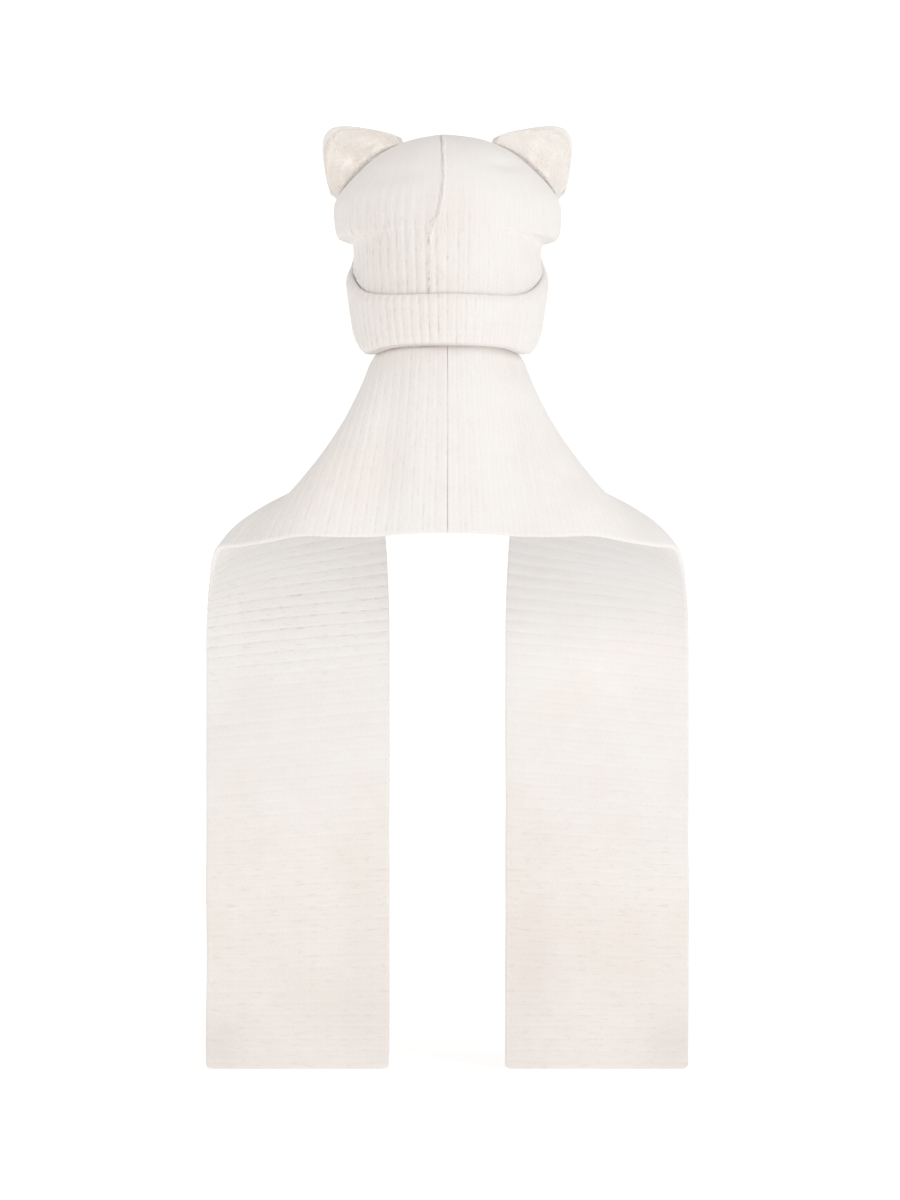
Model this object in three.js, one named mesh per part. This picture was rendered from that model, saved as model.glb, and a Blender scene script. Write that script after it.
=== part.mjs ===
// A knitted animal hood with an attached scarf, in the form it has when worn, seen from behind. The hood is
// a chunky rib-knit cap with a turned-up brim and two padded ears lined with fleece. The scarf is one
// straight rib-knit band in two halves that meet in a centre-back seam: it is sewn inside the brim at the
// nape, opens over the shoulders and hangs down in front as two panels.
// Millimetres, +Z up. +Y is the way the wearer faces and +X is the wearer's right. The origin is the top of
// the hollow inside the cap, where the head bears.

import * as THREE from "three";

// The knit
const KNIT = 5; // wall of the cap and of the brim
const SCARF_KNIT = 4.6; // wall of the scarf, measured between its ribs' faces
const RIB_PITCH = 10.8; // one raised and one sunken rib
const RIB_RELIEF = 1.1; // how far a rib stands up, and a furrow sinks, from the mean surface
const SEWN_GAP = 0.35; // between two pieces that are sewn together
const RIM_GAP = 0.8; // between the cap's rim and the fold it stands on

// The cap, outside
const CAP_HALF_BREADTH = 86;
const CAP_BACK = 107; // from the origin's upright plane to the back of the head
const CAP_FRONT = 100; // and to the forehead
const CAP_HEIGHT = 194; // from the apex to the brim's fold at the nape
const CORNER_BULGE = 18.5; // how far the ears drag each side of the cap out
const CORNER_SPREAD = 0.75; // radians round the cap that the bulge takes

// The brim
const BRIM_DEPTH = 45; // from the fold to the lip, at the nape
const BROW_RISE = 99.5; // how much higher the fold runs over the brow than at the nape
const BRIM_CLEARANCE = 1.5; // between the flap and the cap's ribs
const BRIM_FLARE = 0.4; // how far the lip stands off further
const FOLD_HEIGHT = 9; // of the rolled fold under the cap's rim

// The scarf
const SCARF_WIDTH = 171;
const SCARF_HALF_LENGTH = 790; // from the centre-back seam to the hem
const PANEL_GAP = 108; // between the two hanging panels
const CHEST_REACH = 119; // from the origin's upright plane to the panels
const SEAM_CLEARANCE = 3.1; // between the scarf's ribs and the cap's inside
const SEAM_TUCK = 8; // how far the scarf's edge goes up inside the fold
const SEWN_ANGLE = 62; // degrees each side of the centre back where the scarf is sewn to the cap
const HEM_ROUND = 5; // radius of the hems' corners
const HEM_STEP = 1.5; // from the hem to the last section whose corners are rounded

// The ears
const EAR_REACH = 77; // from the inner end of the ear's foot to its outermost point
const EAR_RISE = 70; // from the outer end of the foot to the top
const EAR_FOOT = 36; // from the centre plane to the inner end of the foot
const EAR_SET_FORWARD = 13; // of the cap's widest line
const EAR_PADDING = 12; // thickness at the middle
const EAR_EDGE = 5; // thickness along the rim
const EAR_CUP = 6; // depth of the hollow towards the back
const EAR_FOOT_DEPTH = 0.3; // how far down the cap the foot's outer end is, a share of CAP_HEIGHT
const EAR_ENDS = 0.04; // share of the foot that is rounded away at each end
const FLEECE_THICKNESS = 3;
const FLEECE_INSET = 0.08; // share of the ear's width left bare round the fleece

// The crown's seam
const WELT_WIDTH = 3.6;
const WELT_HEIGHT = 2.4;
const WELT_END_HEIGHT = 0.3; // at its ends, a share of WELT_HEIGHT
const WELT_TAPER = 0.2; // share of its length over which each end sinks

// How finely the faceted surfaces follow the shapes
const CAP_ROWS = 13;
const PLAIN_COLUMNS = 36;
const WELT_SECTIONS = 26;
const SCARF_CELLS_DRAPED = 5;
const SCARF_CELLS_HANGING = 1;
const EAR_SECTIONS = 12;
const SMALL_STEP = 0.01; // in angle, section or share, for slopes of a surface
const LENGTH_STEP = 0.5; // along the scarf, for its slope
const HALVINGS = 40; // of a range, to find where a curve reaches a value

const APEX = KNIT;
const NAPE = APEX - CAP_HEIGHT;

// Sections of the cap from the apex down. Each is an oval: down is a share of CAP_HEIGHT, wide of
// CAP_HALF_BREADTH, back of CAP_BACK and front of CAP_FRONT. widest is where along Y the oval is broadest, a
// share of CAP_BACK, and bulge a share of CORNER_BULGE.
const CAP_SECTIONS = [
  { down: 0, wide: 0, back: 0, front: 0, widest: 0, bulge: 0 },
  { down: 0.008, wide: 0.26, back: 0.24, front: 0.24, widest: 0, bulge: 0 },
  { down: 0.036, wide: 0.49, back: 0.47, front: 0.46, widest: 0, bulge: 0 },
  { down: 0.088, wide: 0.69, back: 0.67, front: 0.66, widest: 0, bulge: 0.12 },
  { down: 0.165, wide: 0.83, back: 0.82, front: 0.82, widest: -0.01, bulge: 0.42 },
  { down: 0.248, wide: 0.92, back: 0.91, front: 0.92, widest: -0.02, bulge: 0.8 },
  { down: 0.32, wide: 0.965, back: 0.96, front: 0.97, widest: -0.03, bulge: 1 },
  { down: 0.403, wide: 0.985, back: 0.99, front: 0.99, widest: -0.04, bulge: 0.9 },
  { down: 0.45, wide: 0.985, back: 1, front: 1, widest: -0.045, bulge: 0.82 },
  { down: 0.475, wide: 0.985, back: 1, front: 1, widest: -0.05, bulge: 0.66 },
  { down: 0.5, wide: 0.98, back: 1, front: 1, widest: -0.055, bulge: 0.06 },
  { down: 0.6, wide: 0.975, back: 0.99, front: 1, widest: -0.07, bulge: 0 },
  { down: 0.7, wide: 0.955, back: 0.98, front: 0.99, widest: -0.1, bulge: 0 },
  { down: 0.83, wide: 0.92, back: 0.94, front: 0.96, widest: -0.17, bulge: 0 },
  { down: 0.957, wide: 0.885, back: 0.88, front: 0.9, widest: -0.24, bulge: 0 },
  { down: 1.06, wide: 0.84, back: 0.84, front: 0.86, widest: -0.27, bulge: 0 },
];

// The brim round the head, from the centre back to the centre front. rise is the fold's height as a share of
// BROW_RISE, and depth the brim's upright depth as a share of BRIM_DEPTH.
const BRIM_LINE = [
  { degrees: 0, rise: 0, depth: 1 },
  { degrees: 25, rise: -0.025, depth: 1.05 },
  { degrees: 45, rise: -0.075, depth: 1.2 },
  { degrees: 58, rise: -0.085, depth: 1.3 },
  { degrees: 70, rise: -0.045, depth: 1.36 },
  { degrees: 82, rise: 0.075, depth: 1.29 },
  { degrees: 95, rise: 0.23, depth: 1.14 },
  { degrees: 110, rise: 0.42, depth: 1 },
  { degrees: 130, rise: 0.69, depth: 0.97 },
  { degrees: 155, rise: 0.92, depth: 0.98 },
  { degrees: 180, rise: 1, depth: 1 },
];

// Dents in the back of the crown below the ears. Each is a bell round a place: aside is a share of
// CAP_HALF_BREADTH, down, wide and high are shares of CAP_HEIGHT, and deep is in millimetres.
const CROWN_DENTS = [
  { aside: -0.535, down: 0.216, wide: 0.125, high: 0.045, deep: 2.4 },
  { aside: 0.58, down: 0.165, wide: 0.085, high: 0.034, deep: 1.6 },
];

// The scarf's way over the shoulder while its edge is sewn to the cap. sewn is a share of SEWN_ANGLE; out,
// aft and down lead from the inner edge to the outer one and are shares of SCARF_WIDTH; hollow and arch push
// the rib in between off its straight line, near the inner and the outer edge, as shares of SCARF_WIDTH.
const SCARF_SEWN = [
  { sewn: 0, out: 0, aft: 0.117, down: 1.007, hollow: -0.01, arch: 0 },
  { sewn: 0.34, out: 0.059, aft: 0.125, down: 1.001, hollow: -0.01, arch: 0 },
  { sewn: 0.68, out: 0.118, aft: 0.152, down: 1.006, hollow: -0.01, arch: 0 },
  { sewn: 1, out: 0.22, aft: 0.23, down: 1.02, hollow: 0, arch: 0.015 },
];

// And where its edge is free. across is the inner edge's place from the centre plane as a share of PANEL_GAP
// / 2, forward a share of CHEST_REACH, and below its depth under the sewn edge, a share of SCARF_WIDTH.
const SCARF_FREE = [
  { across: 1.25, forward: -0.269, below: 0.132, out: 0.36, aft: 0.322, down: 0.92, hollow: -0.005, arch: 0.02 },
  { across: 1.25, forward: -0.059, below: 0.278, out: 0.529, aft: 0.38, down: 0.79, hollow: 0.005, arch: 0.03 },
  { across: 1.213, forward: 0.134, below: 0.442, out: 0.69, aft: 0.386, down: 0.634, hollow: -0.01, arch: 0.035 },
  { across: 1.157, forward: 0.319, below: 0.617, out: 0.825, aft: 0.351, down: 0.465, hollow: -0.02, arch: 0.09 },
  { across: 1.102, forward: 0.487, below: 0.81, out: 0.892, aft: 0.269, down: 0.343, hollow: 0.005, arch: 0.09 },
  { across: 1.056, forward: 0.647, below: 1.015, out: 0.934, aft: 0.175, down: 0.23, hollow: 0, arch: 0.045 },
  { across: 1.019, forward: 0.79, below: 1.237, out: 0.971, aft: 0.088, down: 0.135, hollow: 0, arch: 0.03 },
  { across: 1, forward: 0.899, below: 1.471, out: 0.993, aft: 0.035, down: 0.094, hollow: 0, arch: 0.02 },
  { across: 1, forward: 0.966, below: 1.705, out: 0.998, aft: 0.009, down: 0.094, hollow: 0, arch: 0.01 },
  { across: 1, forward: 0.995, below: 1.95, out: 1, aft: 0, down: 0.092, hollow: 0, arch: 0 },
];

// The ear's outline over its foot, from the inner end round the tip to the outer end. out is a share of
// EAR_REACH from the inner end and up a share of EAR_RISE from the outer end.
const EAR_OUTLINE = [
  { out: 0, up: 0.79 },
  { out: 0.2, up: 0.895 },
  { out: 0.46, up: 0.965 },
  { out: 0.7, up: 1 },
  { out: 0.87, up: 0.985 },
  { out: 0.965, up: 0.9 },
  { out: 1, up: 0.76 },
  { out: 0.99, up: 0.55 },
  { out: 0.95, up: 0.28 },
  { out: 0.88, up: 0.03 },
];

// Where the crown's seam wanders off the centre line. down is its place as a share of the way from the apex
// to the brim's lip, and aside a share of CAP_HALF_BREADTH.
const WELT_ROUTE = [
  { down: 0.09, aside: -0.025 },
  { down: 0.26, aside: -0.005 },
  { down: 0.445, aside: -0.035 },
  { down: 0.535, aside: -0.085 },
  { down: 0.59, aside: -0.125 },
  { down: 0.7, aside: -0.136 },
  { down: 0.97, aside: -0.12 },
];

// The loops over the top of the crown, before its even rows. share is of the way to the rim, and columns of
// PLAIN_COLUMNS.
const CROWN_TOP = [
  { share: 0.1, columns: 1 / 3 },
  { share: 0.17, columns: 2 / 3 },
  { share: 0.25, columns: 1 },
];

// The loops up the inside of the crown, from the rim.
const CROWN_INSIDE = [
  { share: 1, columns: 2 },
  { share: 0.88, columns: 1 },
  { share: 0.76, columns: 1 },
  { share: 0.64, columns: 1 },
  { share: 0.5, columns: 1 },
  { share: 0.36, columns: 1 },
  { share: 0.22, columns: 1 },
  { share: 0.1, columns: 1 / 3 },
];

// The corners of the brim's section, a J: the fold under the cap's rim, and the flap outside. through runs
// from the cap's inside at -1 to the flap's two faces, its inner at 0 and its outer at 1. fold and depth
// give the height as a share of FOLD_HEIGHT and of the brim's depth, and ribbed is the share of the ribs'
// relief.
const BRIM_CORNERS = [
  { through: -1, fold: 1, depth: 0, ribbed: 0 },
  { through: -1, fold: 0.35, depth: 0, ribbed: 0 },
  { through: -0.65, fold: 0, depth: 0, ribbed: 0.4 },
  { through: 0.5, fold: 0, depth: 0, ribbed: 0.7 },
  { through: 1, fold: 0.5, depth: 0, ribbed: 1 },
  { through: 1, fold: 0, depth: 0.5, ribbed: 1 },
  { through: 1, fold: 0, depth: 0.95, ribbed: 1 },
  { through: 0.65, fold: 0, depth: 1, ribbed: 0.7 },
  { through: 0.25, fold: 0, depth: 1, ribbed: 0 },
  { through: 0, fold: 0, depth: 0.93, ribbed: 0 },
  { through: 0, fold: 0, depth: 0.5, ribbed: 0 },
  { through: 0, fold: 1, depth: 0, ribbed: 0 },
];
const RIBBED_COLUMNS_FROM = 0.5; // share of the relief from which a loop has two columns a rib

// The welt's section, as shares of half its width and of its height.
const WELT_PROFILE = [
  { across: -1, high: 0 },
  { across: -0.8, high: 0.75 },
  { across: 0, high: 1 },
  { across: 0.8, high: 0.75 },
  { across: 1, high: 0 },
];

// Where the ears' rows are, as shares of the way from the foot to the outline.
const EAR_RISES = [0, 0.3, 0.55, 0.78, 0.93];
const FLEECE_RISES = [0.04, 0.3, 0.56, 0.78, 0.92];

const radians = THREE.MathUtils.degToRad;

// A smooth curve through values at rising keys: cubic between neighbours, with each slope taken from both
// sides.
function curveThrough(keys, values, startSlope) {
  const last = keys.length - 1;
  const slopes = values.map((value, i) => {
    if (i === 0 && startSlope !== undefined) {
      return startSlope;
    }
    const before = Math.max(i - 1, 0);
    const after = Math.min(i + 1, last);
    return (values[after] - values[before]) / (keys[after] - keys[before]);
  });
  return (key) => {
    let i = 0;
    while (i < last - 1 && key > keys[i + 1]) {
      i++;
    }
    const span = keys[i + 1] - keys[i];
    const t = (key - keys[i]) / span;
    const rest = 1 - t;
    return (
      values[i] * (1 + 2 * t) * rest * rest +
      values[i + 1] * (3 - 2 * t) * t * t +
      slopes[i] * span * t * rest * rest -
      slopes[i + 1] * span * t * t * rest
    );
  };
}

// One curve for each column of a table, over the rows' numbers.
function columnCurves(rows, startSlopes = {}) {
  const keys = rows.map((row, i) => i);
  const curves = {};
  for (const column of Object.keys(rows[0])) {
    curves[column] = curveThrough(keys, rows.map((row) => row[column]), startSlopes[column]);
  }
  return curves;
}

// A surface made of rows of points. Neighbouring rows may hold different numbers of points.
class Skin {
  constructor() {
    this.positions = [];
    this.faces = [];
  }

  row(points) {
    const first = this.positions.length;
    this.positions.push(...points);
    return points.map((point, i) => first + i);
  }

  // Triangles between two rows that run the same way, both closed loops or both open.
  join(a, b, closed) {
    const stepsA = closed ? a.length : a.length - 1;
    const stepsB = closed ? b.length : b.length - 1;
    let i = 0;
    let j = 0;
    while (i < stepsA || j < stepsB) {
      const here = a[i % a.length];
      const there = b[j % b.length];
      const advanceA = j === stepsB || (i < stepsA && (i + 1) / stepsA <= (j + 1) / stepsB);
      if (advanceA) {
        this.faces.push([here, a[(i + 1) % a.length], there]);
        i++;
      } else {
        this.faces.push([here, b[(j + 1) % b.length], there]);
        j++;
      }
    }
  }

  // Joins each row of a list to the one after it.
  loft(rows, closed) {
    for (let i = 1; i < rows.length; i++) {
      this.join(rows[i], rows[i - 1], closed);
    }
  }

  fan(pole, loop, reversed) {
    loop.forEach((here, i) => {
      const next = loop[(i + 1) % loop.length];
      this.faces.push(reversed ? [pole, next, here] : [pole, here, next]);
    });
  }

  // Closes a loop with a fan round the mean of its points.
  closeByFan(loop, reversed) {
    const sum = loop.reduce((total, id) => total.add(this.positions[id]), new THREE.Vector3());
    const [pole] = this.row([sum.divideScalar(loop.length)]);
    this.fan(pole, loop, reversed);
  }

  // Closes a loop that goes out along one face and back along the other, with a strip between the two.
  closeByStrip(loop, reversed) {
    const half = loop.length / 2;
    const out = loop.slice(0, half);
    const back = loop.slice(half).reverse();
    if (reversed) {
      this.join(back, out, false);
    } else {
      this.join(out, back, false);
    }
  }

  // side is 1 for the shape as it stands, and -1 for its mirror image across the centre plane.
  geometry(side = 1) {
    const geometry = new THREE.BufferGeometry();
    const coordinates = this.positions.flatMap((point) => [point.x * side, point.y, point.z]);
    geometry.setAttribute("position", new THREE.Float32BufferAttribute(coordinates, 3));
    geometry.setIndex(this.faces.flatMap((face) => (side > 0 ? face : face.toReversed())));
    geometry.computeVertexNormals();
    return geometry;
  }
}

// The cap

const capCurves = columnCurves(CAP_SECTIONS, { down: 0 });

// A point of the cap's outside. angle runs from the centre back towards the wearer's right, and section
// counts the table's rows.
function capPoint(angle, section) {
  const side = Math.sin(angle);
  const aft = Math.cos(angle);
  const widest = capCurves.widest(section) * CAP_BACK;
  const corner = Math.exp(-(((Math.abs(angle) - Math.PI / 2) / CORNER_SPREAD) ** 2));
  const breadth = capCurves.wide(section) * CAP_HALF_BREADTH + capCurves.bulge(section) * CORNER_BULGE * corner;
  const behind = capCurves.back(section) * CAP_BACK + widest;
  const ahead = capCurves.front(section) * CAP_FRONT - widest;
  const depth = aft > 0 ? behind : ahead;
  return new THREE.Vector3(breadth * side, widest - depth * aft, APEX - capCurves.down(section) * CAP_HEIGHT);
}

function capNormal(angle, section) {
  if (section < SMALL_STEP) {
    return new THREE.Vector3(0, 0, 1);
  }
  const along = capPoint(angle + SMALL_STEP, section).sub(capPoint(angle - SMALL_STEP, section));
  const down = capPoint(angle, section + SMALL_STEP).sub(capPoint(angle, section - SMALL_STEP));
  return down.cross(along).normalize();
}

// The point that stands a distance off the cap's outside.
function offCap(angle, section, distance) {
  return capPoint(angle, section).addScaledVector(capNormal(angle, section), distance);
}

// The section at a height, by halving.
function sectionAt(z) {
  let low = 0;
  let high = CAP_SECTIONS.length - 1;
  for (let i = 0; i < HALVINGS; i++) {
    const middle = (low + high) / 2;
    if (APEX - capCurves.down(middle) * CAP_HEIGHT > z) {
      low = middle;
    } else {
      high = middle;
    }
  }
  return low;
}

const brimKeys = BRIM_LINE.map((row) => radians(row.degrees));
const brimRise = curveThrough(brimKeys, BRIM_LINE.map((row) => row.rise), 0);
const brimDepth = curveThrough(brimKeys, BRIM_LINE.map((row) => row.depth), 0);
const foldHeight = (angle) => NAPE + brimRise(Math.abs(angle)) * BROW_RISE;

// Ribs round the cap, with a furrow at the centre back. Two columns make one rib.
const capGirth = Math.PI * (CAP_HALF_BREADTH + (CAP_BACK + CAP_FRONT) / 2);
const CAP_RIBS = 2 * Math.round(capGirth / RIB_PITCH / 2);
const capRib = (angle) => -RIB_RELIEF * Math.cos(CAP_RIBS * angle);
// The sections between which the ribs rise out of the gathered top of the crown.
const RIBS_BEGIN = 3;
const RIBS_WHOLE = 6.5;
const ribFade = (section) => THREE.MathUtils.smoothstep(section, RIBS_BEGIN, RIBS_WHOLE);

function roundAngles(count) {
  return Array.from({ length: count }, (unused, i) => ((i / count) * 2 - 1) * Math.PI);
}

// How far the back of the crown is pushed in at a point.
function dentAt(point) {
  if (point.y > 0) {
    return 0;
  }
  return CROWN_DENTS.reduce((total, dent) => {
    const across = (point.x - dent.aside * CAP_HALF_BREADTH) / (dent.wide * CAP_HEIGHT);
    const down = (APEX - point.z - dent.down * CAP_HEIGHT) / (dent.high * CAP_HEIGHT);
    return total + dent.deep * Math.exp(-across * across - down * down);
  }, 0);
}

function crownGeometry() {
  const skin = new Skin();
  const rimHeight = (angle) => foldHeight(angle) + FOLD_HEIGHT + RIM_GAP;

  function loop(share, count, lift) {
    return skin.row(
      roundAngles(count).map((angle) => {
        const section = sectionAt(rimHeight(angle)) * share;
        const point = offCap(angle, section, lift(angle, section));
        if (share === 1) {
          point.z = rimHeight(angle);
        }
        return point;
      }),
    );
  }

  const outside = (angle, section) => capRib(angle) * ribFade(section) - dentAt(capPoint(angle, section));
  const inside = (angle, section) => -KNIT - dentAt(capPoint(angle, section));
  const top = CROWN_TOP.at(-1).share;
  const even = Array.from({ length: CAP_ROWS }, (unused, i) => (i + 1) / CAP_ROWS);
  const rows = [
    ...CROWN_TOP.map(({ share, columns }) => loop(share, PLAIN_COLUMNS * columns, outside)),
    ...even.filter((share) => share > top + 1 / CAP_ROWS / 2).map((share) => loop(share, 2 * CAP_RIBS, outside)),
    ...CROWN_INSIDE.map(({ share, columns }) => loop(share, PLAIN_COLUMNS * columns, inside)),
  ];
  skin.loft(rows, true);
  const [apex] = skin.row([capPoint(0, 0)]);
  const [hollowTop] = skin.row([new THREE.Vector3(0, 0, APEX - KNIT)]);
  skin.fan(apex, rows[0], false);
  skin.fan(hollowTop, rows.at(-1), true);
  return skin.geometry();
}

// The brim: the knit turned up on itself, and carried round the head.
function brimGeometry() {
  const skin = new Skin();
  const flapInside = BRIM_CLEARANCE + RIB_RELIEF;
  const rows = BRIM_CORNERS.map((corner) => {
    const count = corner.ribbed > RIBBED_COLUMNS_FROM ? 2 * CAP_RIBS : PLAIN_COLUMNS * 2;
    const off = flapInside + corner.through * (corner.through < 0 ? flapInside + KNIT : KNIT);
    return skin.row(
      roundAngles(count).map((angle) => {
        const depth = brimDepth(Math.abs(angle)) * BRIM_DEPTH;
        const height = corner.fold * FOLD_HEIGHT + corner.depth * depth;
        const flare = BRIM_FLARE * (height / depth) ** 2;
        const level = foldHeight(angle) + height;
        const point = offCap(angle, sectionAt(level), off + capRib(angle) * corner.ribbed + flare);
        point.z = level;
        return point;
      }),
    );
  });
  rows.forEach((row, i) => skin.join(row, rows[(i + 1) % rows.length], true));
  return skin.geometry();
}

// The crown's seam: a welt that stands on the cap.
function weltGeometry() {
  const keys = WELT_ROUTE.map((row) => row.down);
  const aside = curveThrough(keys, WELT_ROUTE.map((row) => row.aside));
  const lipSection = sectionAt(NAPE + BRIM_DEPTH);
  const skin = new Skin();
  const loops = Array.from({ length: WELT_SECTIONS + 1 }, (unused, i) => {
    const along = i / WELT_SECTIONS;
    const down = THREE.MathUtils.lerp(keys[0], keys.at(-1), along);
    const section = lipSection * down;
    const breadth = capPoint(Math.PI / 2, section).x;
    const clear = RIB_RELIEF * ribFade(section) + SEWN_GAP;
    const tall = Math.min(1, WELT_END_HEIGHT + Math.min(along, 1 - along) / WELT_TAPER);
    return skin.row(
      WELT_PROFILE.map(({ across, high }) => {
        const away = aside(down) * CAP_HALF_BREADTH + (across * WELT_WIDTH) / 2;
        return offCap(Math.asin(away / breadth), section, clear + high * tall * WELT_HEIGHT);
      }),
    );
  });
  skin.loft(loops, true);
  skin.closeByFan(loops[0], false);
  skin.closeByFan(loops.at(-1), true);
  return skin.geometry();
}

// The scarf

const sewnHeight = foldHeight(0) + SEAM_TUCK;

// The scarf's edge inside the cap, at an angle from the centre back.
function sewnPoint(angle) {
  const inwards = KNIT + SEAM_CLEARANCE + SCARF_KNIT / 2 + RIB_RELIEF;
  const section = sectionAt(foldHeight(angle) + SEAM_TUCK);
  const point = offCap(angle, section, -inwards);
  point.z = foldHeight(angle) + SEAM_TUCK;
  return point;
}

// Both edges of the right half at each station, and how its ribs bend in between.
const scarfStations = [
  ...SCARF_SEWN.map((row) => ({ row, inner: sewnPoint(row.sewn * radians(SEWN_ANGLE)) })),
  ...SCARF_FREE.map((row) => ({
    row,
    inner: new THREE.Vector3(
      (row.across * PANEL_GAP) / 2,
      row.forward * CHEST_REACH,
      sewnHeight - row.below * SCARF_WIDTH,
    ),
  })),
].map(({ row, inner }) => ({
  inner,
  outer: inner.clone().add(new THREE.Vector3(row.out, -row.aft, -row.down).multiplyScalar(SCARF_WIDTH)),
  hollow: row.hollow * SCARF_WIDTH,
  arch: row.arch * SCARF_WIDTH,
}));

const stationKeys = scarfStations.map((station, i) => i);
const edgeCurves = {};
for (const edge of ["inner", "outer"]) {
  edgeCurves[edge] = ["x", "y", "z"].map((axis) =>
    curveThrough(stationKeys, scarfStations.map((station) => station[edge][axis])),
  );
}
const hollowCurve = curveThrough(stationKeys, scarfStations.map((station) => station.hollow));
const archCurve = curveThrough(stationKeys, scarfStations.map((station) => station.arch));
const edgeAt = (edge, station) => new THREE.Vector3(...edgeCurves[edge].map((curve) => curve(station)));

// Lengths along the outer edge up to many stations, to find the station at a length.
const LENGTH_STEPS = 260;
const lastStation = scarfStations.length - 1;
const lengthTable = [0];
for (let i = 1; i <= LENGTH_STEPS; i++) {
  const from = edgeAt("outer", ((i - 1) / LENGTH_STEPS) * lastStation);
  const to = edgeAt("outer", (i / LENGTH_STEPS) * lastStation);
  lengthTable.push(lengthTable.at(-1) + from.distanceTo(to));
}
const drapedLength = lengthTable.at(-1);

function stationAt(length) {
  let i = 0;
  while (i < LENGTH_STEPS - 1 && lengthTable[i + 1] < length) {
    i++;
  }
  const share = (length - lengthTable[i]) / (lengthTable[i + 1] - lengthTable[i]);
  return ((i + share) / LENGTH_STEPS) * lastStation;
}

// Both edges at a length from the centre-back seam. Past the last station the panel hangs straight down,
// comes to the chest's plane over the first share of the fall, and its ribs come level towards the hem.
const SETTLING_SHARE = 0.2;
function edgesAt(length) {
  if (length <= drapedLength) {
    const station = stationAt(length);
    return {
      inner: edgeAt("inner", station),
      outer: edgeAt("outer", station),
      hollow: hollowCurve(station),
      arch: archCurve(station),
    };
  }
  const end = scarfStations[lastStation];
  const fallen = length - drapedLength;
  const share = fallen / (SCARF_HALF_LENGTH - drapedLength);
  const slant = end.inner.z - end.outer.z;
  const settled = THREE.MathUtils.smoothstep(share, 0, SETTLING_SHARE);
  const inner = end.inner.clone();
  const outer = end.outer.clone();
  inner.y = THREE.MathUtils.lerp(end.inner.y, CHEST_REACH, settled);
  outer.y = THREE.MathUtils.lerp(end.outer.y, CHEST_REACH, settled);
  outer.z -= fallen;
  inner.z = outer.z + slant * (1 - share);
  return { inner, outer, hollow: 0, arch: 0 };
}

// The peak of a * (1 - a) * (1 - a) is 4 / 27, so this makes a bend as deep as its name says.
const BEND_SCALE = 27 / 4;

// A point of the scarf's middle surface. across is 0 on the inner edge and 1 on the outer one.
function scarfPoint(length, across) {
  const { inner, outer, hollow, arch } = edgesAt(length);
  const back = edgesAt(Math.max(length - LENGTH_STEP, 0));
  const on = edgesAt(length + LENGTH_STEP);
  const forward = on.inner.add(on.outer).sub(back.inner).sub(back.outer);
  const chord = outer.clone().sub(inner);
  const normal = chord.clone().cross(forward).normalize();
  const rest = 1 - across;
  const bend = BEND_SCALE * across * rest * (hollow * rest + arch * across);
  return inner.addScaledVector(chord, across).addScaledVector(normal, bend);
}

function scarfNormal(length, across) {
  const low = Math.max(across - SMALL_STEP, 0);
  const high = Math.min(across + SMALL_STEP, 1);
  const acrossWay = scarfPoint(length, high).sub(scarfPoint(length, low));
  const ahead = scarfPoint(length + LENGTH_STEP, across);
  const behind = scarfPoint(Math.max(length - LENGTH_STEP, 0), across);
  return acrossWay.cross(ahead.sub(behind)).normalize();
}

const SCARF_RIBS = Math.round(SCARF_HALF_LENGTH / RIB_PITCH);
const scarfRib = (length) => -RIB_RELIEF * Math.cos((2 * Math.PI * SCARF_RIBS * length) / SCARF_HALF_LENGTH);

// How far each corner of the hem is rounded away at a distance from the hem.
function hemTrim(fromHem) {
  if (fromHem >= HEM_ROUND) {
    return 0;
  }
  const up = HEM_ROUND - Math.max(fromHem, HEM_STEP / 3);
  return HEM_ROUND - Math.sqrt(HEM_ROUND * HEM_ROUND - up * up);
}

function scarfGeometry(side) {
  const skin = new Skin();
  const start = SEWN_GAP;
  const count = 2 * SCARF_RIBS;
  const lengths = Array.from({ length: count + 1 }, (unused, i) => (i / count) * SCARF_HALF_LENGTH);
  lengths[0] = start;
  lengths.splice(count, 0, SCARF_HALF_LENGTH - HEM_STEP);

  function section(length) {
    const cells = length < drapedLength ? SCARF_CELLS_DRAPED : SCARF_CELLS_HANGING;
    const trim = hemTrim(SCARF_HALF_LENGTH - length) / SCARF_WIDTH;
    const places = Array.from({ length: cells + 1 }, (unused, i) => trim + (i / cells) * (1 - 2 * trim));
    const face = (offset) =>
      places.map((across) => {
        const point = scarfPoint(length, across);
        point.addScaledVector(scarfNormal(length, across), offset + scarfRib(length));
        if (length === start) {
          point.x = start;
        }
        return point;
      });
    return [...face(SCARF_KNIT / 2), ...face(-SCARF_KNIT / 2).reverse()];
  }

  const loops = lengths.map((length) => skin.row(section(length))).reverse();
  skin.loft(loops, true);
  skin.closeByStrip(loops[0], false);
  skin.closeByStrip(loops.at(-1), true);
  return skin.geometry(side);
}

// The ears

const outlineKeys = EAR_OUTLINE.map((row, i) => i / (EAR_OUTLINE.length - 1));
const outlineOut = curveThrough(outlineKeys, EAR_OUTLINE.map((row) => row.out));
const outlineUp = curveThrough(outlineKeys, EAR_OUTLINE.map((row) => row.up));

// The angle round the cap where the ears stand, a little forward of its widest line.
const earAngle = Math.PI / 2 + Math.asin(EAR_SET_FORWARD / CAP_FRONT);

// The section where the cap reaches a breadth at the ears' angle, over the outer end of their foot.
function sectionAtBreadth(x) {
  let low = 0;
  let high = earFootOut;
  for (let i = 0; i < HALVINGS; i++) {
    const middle = (low + high) / 2;
    if (capPoint(earAngle, middle).x < x) {
      low = middle;
    } else {
      high = middle;
    }
  }
  return low;
}

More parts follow.
